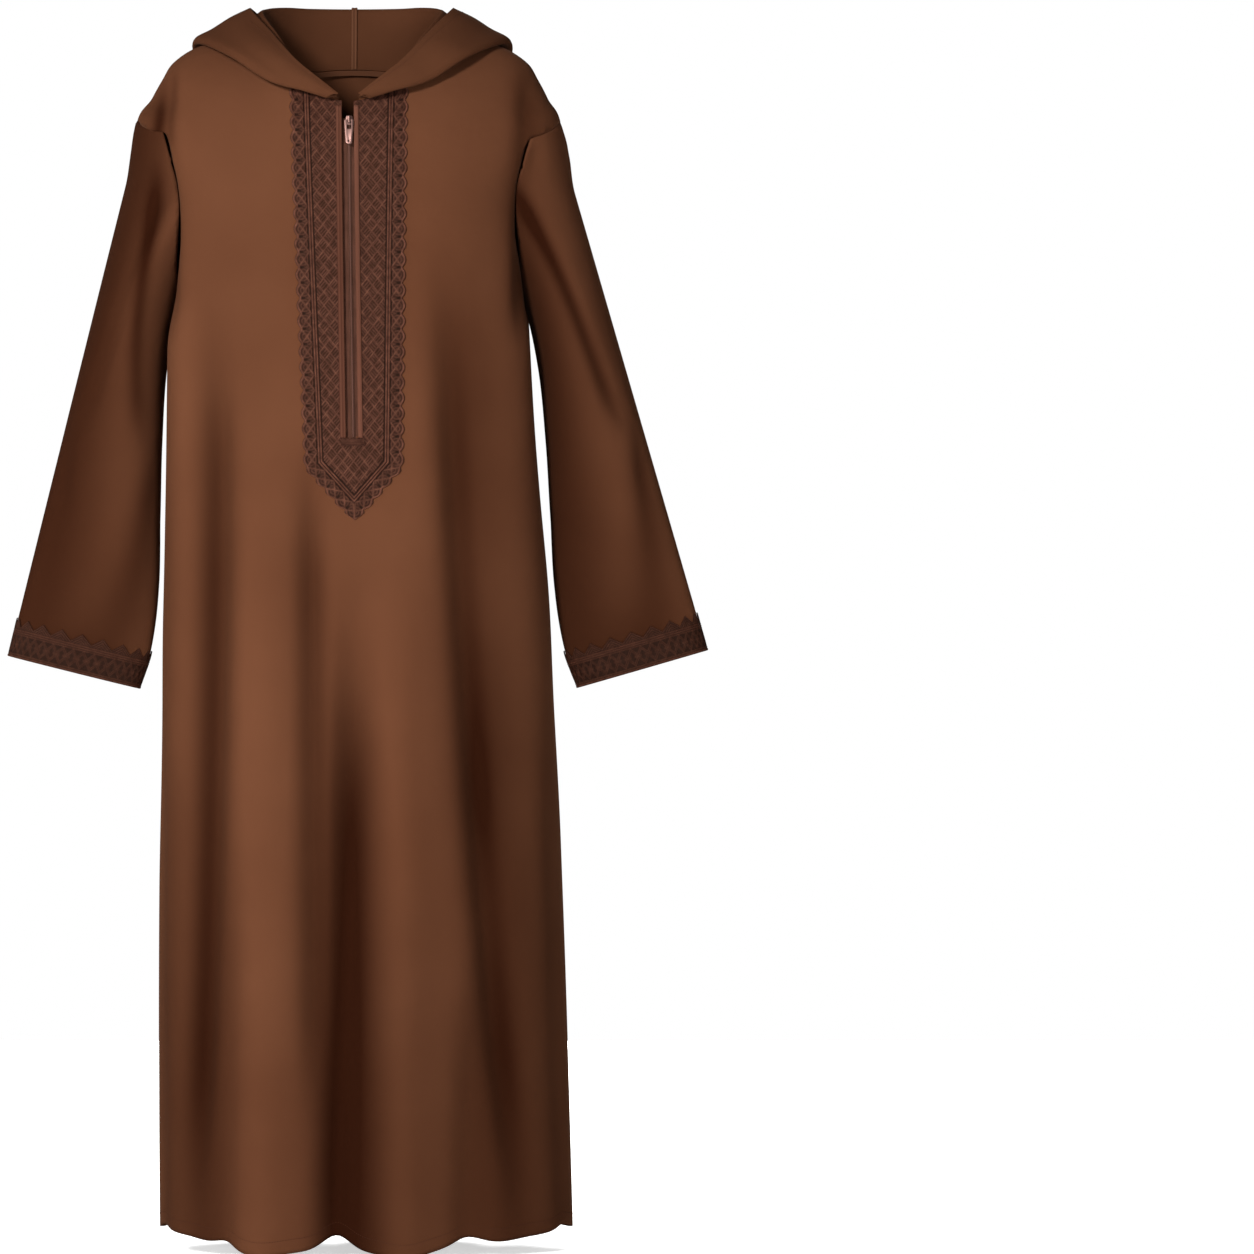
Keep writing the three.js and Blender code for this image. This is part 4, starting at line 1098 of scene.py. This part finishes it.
def tubesOf(name, points, finish):
    # One closed tube for each row of rings, capped at both ends, with every face turned outward
    count, rings, around = points.shape[:3]
    ids = np.arange(rings * around).reshape(rings, around)
    quads = np.stack([ids[:-1], np.roll(ids[:-1], -1, 1), np.roll(ids[1:], -1, 1), ids[1:]], -1)
    faces = []
    for first in range(0, count * ids.size, ids.size):
        faces += (quads.reshape(-1, 4) + first).tolist()
        faces += [list(ids[0, ::-1] + first), list(ids[-1] + first)]
    points = points.reshape(-1, 3)
    piece = objectOf(name, points, faces, points[:, [0, 2]] * metre, finish)
    work = bmesh.new()
    work.from_mesh(piece.data)
    bmesh.ops.recalc_face_normals(work, faces=work.faces)
    work.to_mesh(piece.data)
    work.free()
    return piece


coilTeeth = {
    "topZ": -65.5,
    "lowZ": -432.5,
    "pitch": 1.6,
    "start": -0.7,
    "reach": 3.2,
    "thick": 0.62,
    "high": 0.85,
    "lift": -0.15,
    "around": 6,
    "along": 5,
}


def makeCoil():
    # Each tooth is an oval bar across the zip's line, every other one from the other side
    size = coilTeeth
    count = int((size["topZ"] - size["lowZ"]) / size["pitch"] * 2)
    level = levelOf(size["topZ"] - (np.arange(count) + 0.5) * size["pitch"] / 2)
    side = np.where(np.arange(count) % 2 == 0, 1.0, -1.0)
    centre = frontAt(np.zeros(count), level)
    along = unit(frontAt(np.zeros(count), level + 0.01) - centre)
    across = unit(np.array([1.0, 0, 0]) - along * along[:, :1])
    outward = np.cross(across, along)
    t = np.linspace(0, 1, size["along"] + 1)
    turn = np.arange(size["around"]) * 2 * np.pi / size["around"]
    swell = np.sqrt(np.clip(1 - (2 * t - 1)**4, 0.04, 1))[:, None]
    aside = (size["start"] + size["reach"] * t)[:, None] * side[:, None, None]
    wide = swell * np.cos(turn) * size["thick"] / 2
    high = swell * np.sin(turn) * size["high"] + size["lift"]
    points = sum(reach[..., None] * way[:, None, None]
                 for reach, way in ((aside, across), (wide, along), (high, outward)))
    piece = tubesOf("coilTeeth", centre[:, None, None] + points, "coil")
    standFor("zip_coil")
    print("coil made")


cuffBand = {"columns": 560, "rows": 60, "height": 36.0, "point": 10.0, "points": 20, "lifts": (0.2, 1.5)}
cuffThreads = {  # threads as height and half width, places up from the cuff's edge
    "pitch": 17.0,
    "piping": (0.6, 1.1),
    "pipingAt": 1.6,
    "zigzag": (0.42, 0.75),
    "zigzags": ((6.0, 8.0), (27.0, -8.0)),  # start and swing
    "zigzagPitch": 8.5,
    "zigzagShift": 3.0,
    "seed": (0.35, 0.9),
    "seedPitch": 4.25,
    "seedsAt": 16.5,
    "frame": (0.45, 0.6),
    "frames": (4.4, 27.6),
    "band": (3.6, 28.4),
    "cord": (0.6, 0.8),
    "cords": (30.0, 32.6),
    "cordPitch": 2.6,
    "nestedFrom": 34,
    "nestedPitch": 3.2,
    "nestedInset": 1.2,
}


def cuffTop(turn):
    return cuffBand["height"] + cuffBand["point"] * zigzag(turn * cuffBand["points"])


def cuffRelief(turn, up):
    # A piped lower edge, two rows of zigzag with seeds, a double cord, then a triangle in each point
    sewn = cuffThreads
    piped = laid(sewn["piping"], up - sewn["pipingAt"])
    across = turn * cuffBand["points"] * sewn["pitch"]
    lines = np.zeros_like(up)
    for start, swing in sewn["zigzags"]:
        for shift in (0.0, sewn["zigzagShift"]):
            line = start + np.sign(swing) * shift + swing * zigzag(across / sewn["zigzagPitch"])
            lines = np.maximum(lines, laid(sewn["zigzag"], up - line))
    aside = ((across / sewn["seedPitch"]) % 1 - 0.5) * sewn["seedPitch"]
    seeds = laid(sewn["seed"], aside) * ridge(up - sewn["seedsAt"], 1.6)
    frames = sum(laid(sewn["frame"], up - place) for place in sewn["frames"])
    low, high = sewn["band"]
    band = np.where((up > low) & (up < high), lines + seeds + frames, 0)
    cords = sum(laid(sewn["cord"], up - place) for place in sewn["cords"])
    cords *= twisted(across / sewn["cordPitch"], up)
    fromTop = cuffTop(turn) - up - sewn["nestedInset"]
    nested = 0.4 * wave(fromTop / sewn["nestedPitch"]) * smooth((up - sewn["nestedFrom"]) / 0.8)
    return piped + band + cords + nested


def makeCuffs():
    def relief(a, b, base):
        return cuffRelief(a, b * cuffTop(a)) * smooth(np.minimum(b, 1 - b) * cuffBand["rows"])

    a, b = gridOf(cuffBand["columns"], cuffBand["rows"])
    for side, sleeve in sleeves.items():
        def pointAt(a, b, surface=sleeveSurface(sleeve)):
            return surface(a, b * cuffTop(a) / sleeveCloth["length"])
        piece = wallPiece(f"{side}CuffEmbroidery", pointAt, a, b, cuffBand["lifts"], "cuff",
                          relief=relief, ring=True, backed=False)
        standFor(f"cuff_trim_{side}")
    print("cuff bands made")


tapes = {
    "neckHeight": 6.0,
    "neckRise": 0.6,
    "neckTurn": 62.0,
    "neckLift": 0.9,
    "neckGrid": (120, 10),
    "seamHalf": 3.4,
    "seamLift": 1.75,
    "seamGrid": (10, 220),
    "wall": 1.0,
}


def makeTapes():
    def neck(a, b):
        angle = np.pi + np.radians((2 * a - 1) * tapes["neckTurn"])
        drop = ((b - 1) * tapes["neckHeight"] + tapes["neckRise"])[..., None] * np.array([0, 0, 1.0])
        return neckEdge(angle, bodyCloth["wall"] + tapes["neckLift"]) + drop

    def seam(a, b):
        centre = hoodPoint(np.ones_like(b), b)
        return np.stack([(2 * a - 1) * tapes["seamHalf"], centre[..., 1], centre[..., 2]], -1)

    def sewnEdges(a, b, base):
        return 0.35 * (ridge(a - 0.2, 0.1) + ridge(a - 0.8, 0.1))

    piece = wallPiece("neckTapeCloth", neck, *gridOf(*tapes["neckGrid"]), (-tapes["wall"], 0.0), "band")
    standFor("neck_tape")
    lifts = (tapes["seamLift"], tapes["seamLift"] + tapes["wall"])
    piece = wallPiece("hoodSeamTapeCloth", seam, *gridOf(*tapes["seamGrid"]), lifts, "band", relief=sewnEdges)
    standFor("hood_seam_tape")
    print("tapes made")


metalEdges = {"merged": 1e-5, "flatAngle": 0.02, "bevel": 0.00035, "segments": 3, "sharpAngle": 0.6}


def makeMetal():
    # The slider and the pull from their solids, with their edges rounded off
    for node, body in (("zip_slider", "garment"), ("zip_pull", "zip_pull")):
        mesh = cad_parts[node].data.copy()
        piece = newObject(node + "Metal", mesh)
        work = bmesh.new()
        work.from_mesh(mesh)
        bmesh.ops.remove_doubles(work, verts=work.verts, dist=metalEdges["merged"])
        bmesh.ops.dissolve_limit(work, angle_limit=metalEdges["flatAngle"], verts=work.verts,
                                 edges=work.edges)
        work.to_mesh(mesh)
        work.free()
        mesh.materials.clear()
        mesh.materials.append(finishes["metal"])
        mesh.polygons.foreach_set("use_smooth", np.ones(len(mesh.polygons), bool))
        bevel = piece.modifiers.new("edges", "BEVEL")
        bevel.width, bevel.segments = metalEdges["bevel"], metalEdges["segments"]
        bevel.limit_method, bevel.angle_limit = "ANGLE", metalEdges["sharpAngle"]
        bevel.harden_normals = True
        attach(piece, body)
        standFor(node)
    print("metal made")


stitch = {
    "length": 2.3,
    "pitch": 3.1,
    "thick": 0.5,
    "around": 6,
    "shares": np.array([0.0, 0.2, 0.5, 0.8, 1.0]),  # of its length, for each ring
    "swell": np.array([0.35, 0.9, 1.0, 0.9, 0.35]),
    "rise": np.array([-0.5, 0.0, 0.12, 0.0, -0.5]),
}
stitchRows = {
    "steps": 500,
    "hemEnds": (0.004, 0.996),
    "hemLevel": 22 / 142,  # 22 mm up the lowest level, which is 142 mm high
    "hemLift": 0.12,
    "hoodEnds": (0.01, 0.995),
    "hoodPlace": 0.965,
    "hoodLift": 0.1,
}


def makeStitches(name, path, outward):
    # A row of short rounded threads laid along a path of points, each proud of the cloth
    run = np.concatenate([[0], np.cumsum(np.linalg.norm(np.diff(path, axis=0), axis=1))])
    starts = np.arange(0, run[-1] - stitch["pitch"], stitch["pitch"])
    at = starts[:, None] + stitch["shares"] * stitch["length"]
    centre = np.stack([np.interp(at, run, path[:, i]) for i in range(3)], -1)
    out = unit(np.stack([np.interp(at, run, outward[:, i]) for i in range(3)], -1))
    centre = centre + out * (stitch["rise"] * stitch["thick"])[None, :, None]
    side = unit(np.cross(unit(np.gradient(centre, axis=1)), out))
    turn = (np.arange(stitch["around"]) * 2 * np.pi / stitch["around"])[:, None]
    radius = stitch["thick"] / 2 * stitch["swell"][None, :, None, None]
    ring = side[:, :, None] * np.cos(turn) * radius + out[:, :, None] * np.sin(turn) * radius
    tubesOf(name, centre[:, :, None] + ring, "stitch")


def makeStitching():
    # Rows beside the hem and the hood's face edge
    rows = stitchRows
    a = np.linspace(*rows["hemEnds"], rows["steps"])
    b = np.full_like(a, rows["hemLevel"] / bodyCloth["armpitLevel"] * bodyCloth["armpitShare"])
    for side, centre in (("front", 0.0), ("back", np.pi)):
        surface = panelSurface(centre)
        normal = normalsOf(surface, a, b)
        makeStitches(f"{side}HemStitches", surface(a, b) + normal * rows["hemLift"], normal)
    a = np.linspace(*rows["hoodEnds"], rows["steps"])
    b = np.full_like(a, rows["hoodPlace"])
    for side, sign in (("left", 1), ("right", -1)):
        surface = hoodSurface(sign)
        outward = normalsOf(surface, a, b) * sign
        path = surface(a, b) + outward * (hoodCloth["wall"] / 2 + rows["hoodLift"])
        makeStitches(f"{side}HoodStitches", path, outward)
    print("stitching made")


makeBody()
makeSleeves()
makeHood()
makePlacket()
makeStrips()
makeCoil()
makeCuffs()
makeTapes()
makeMetal()
makeStitching()
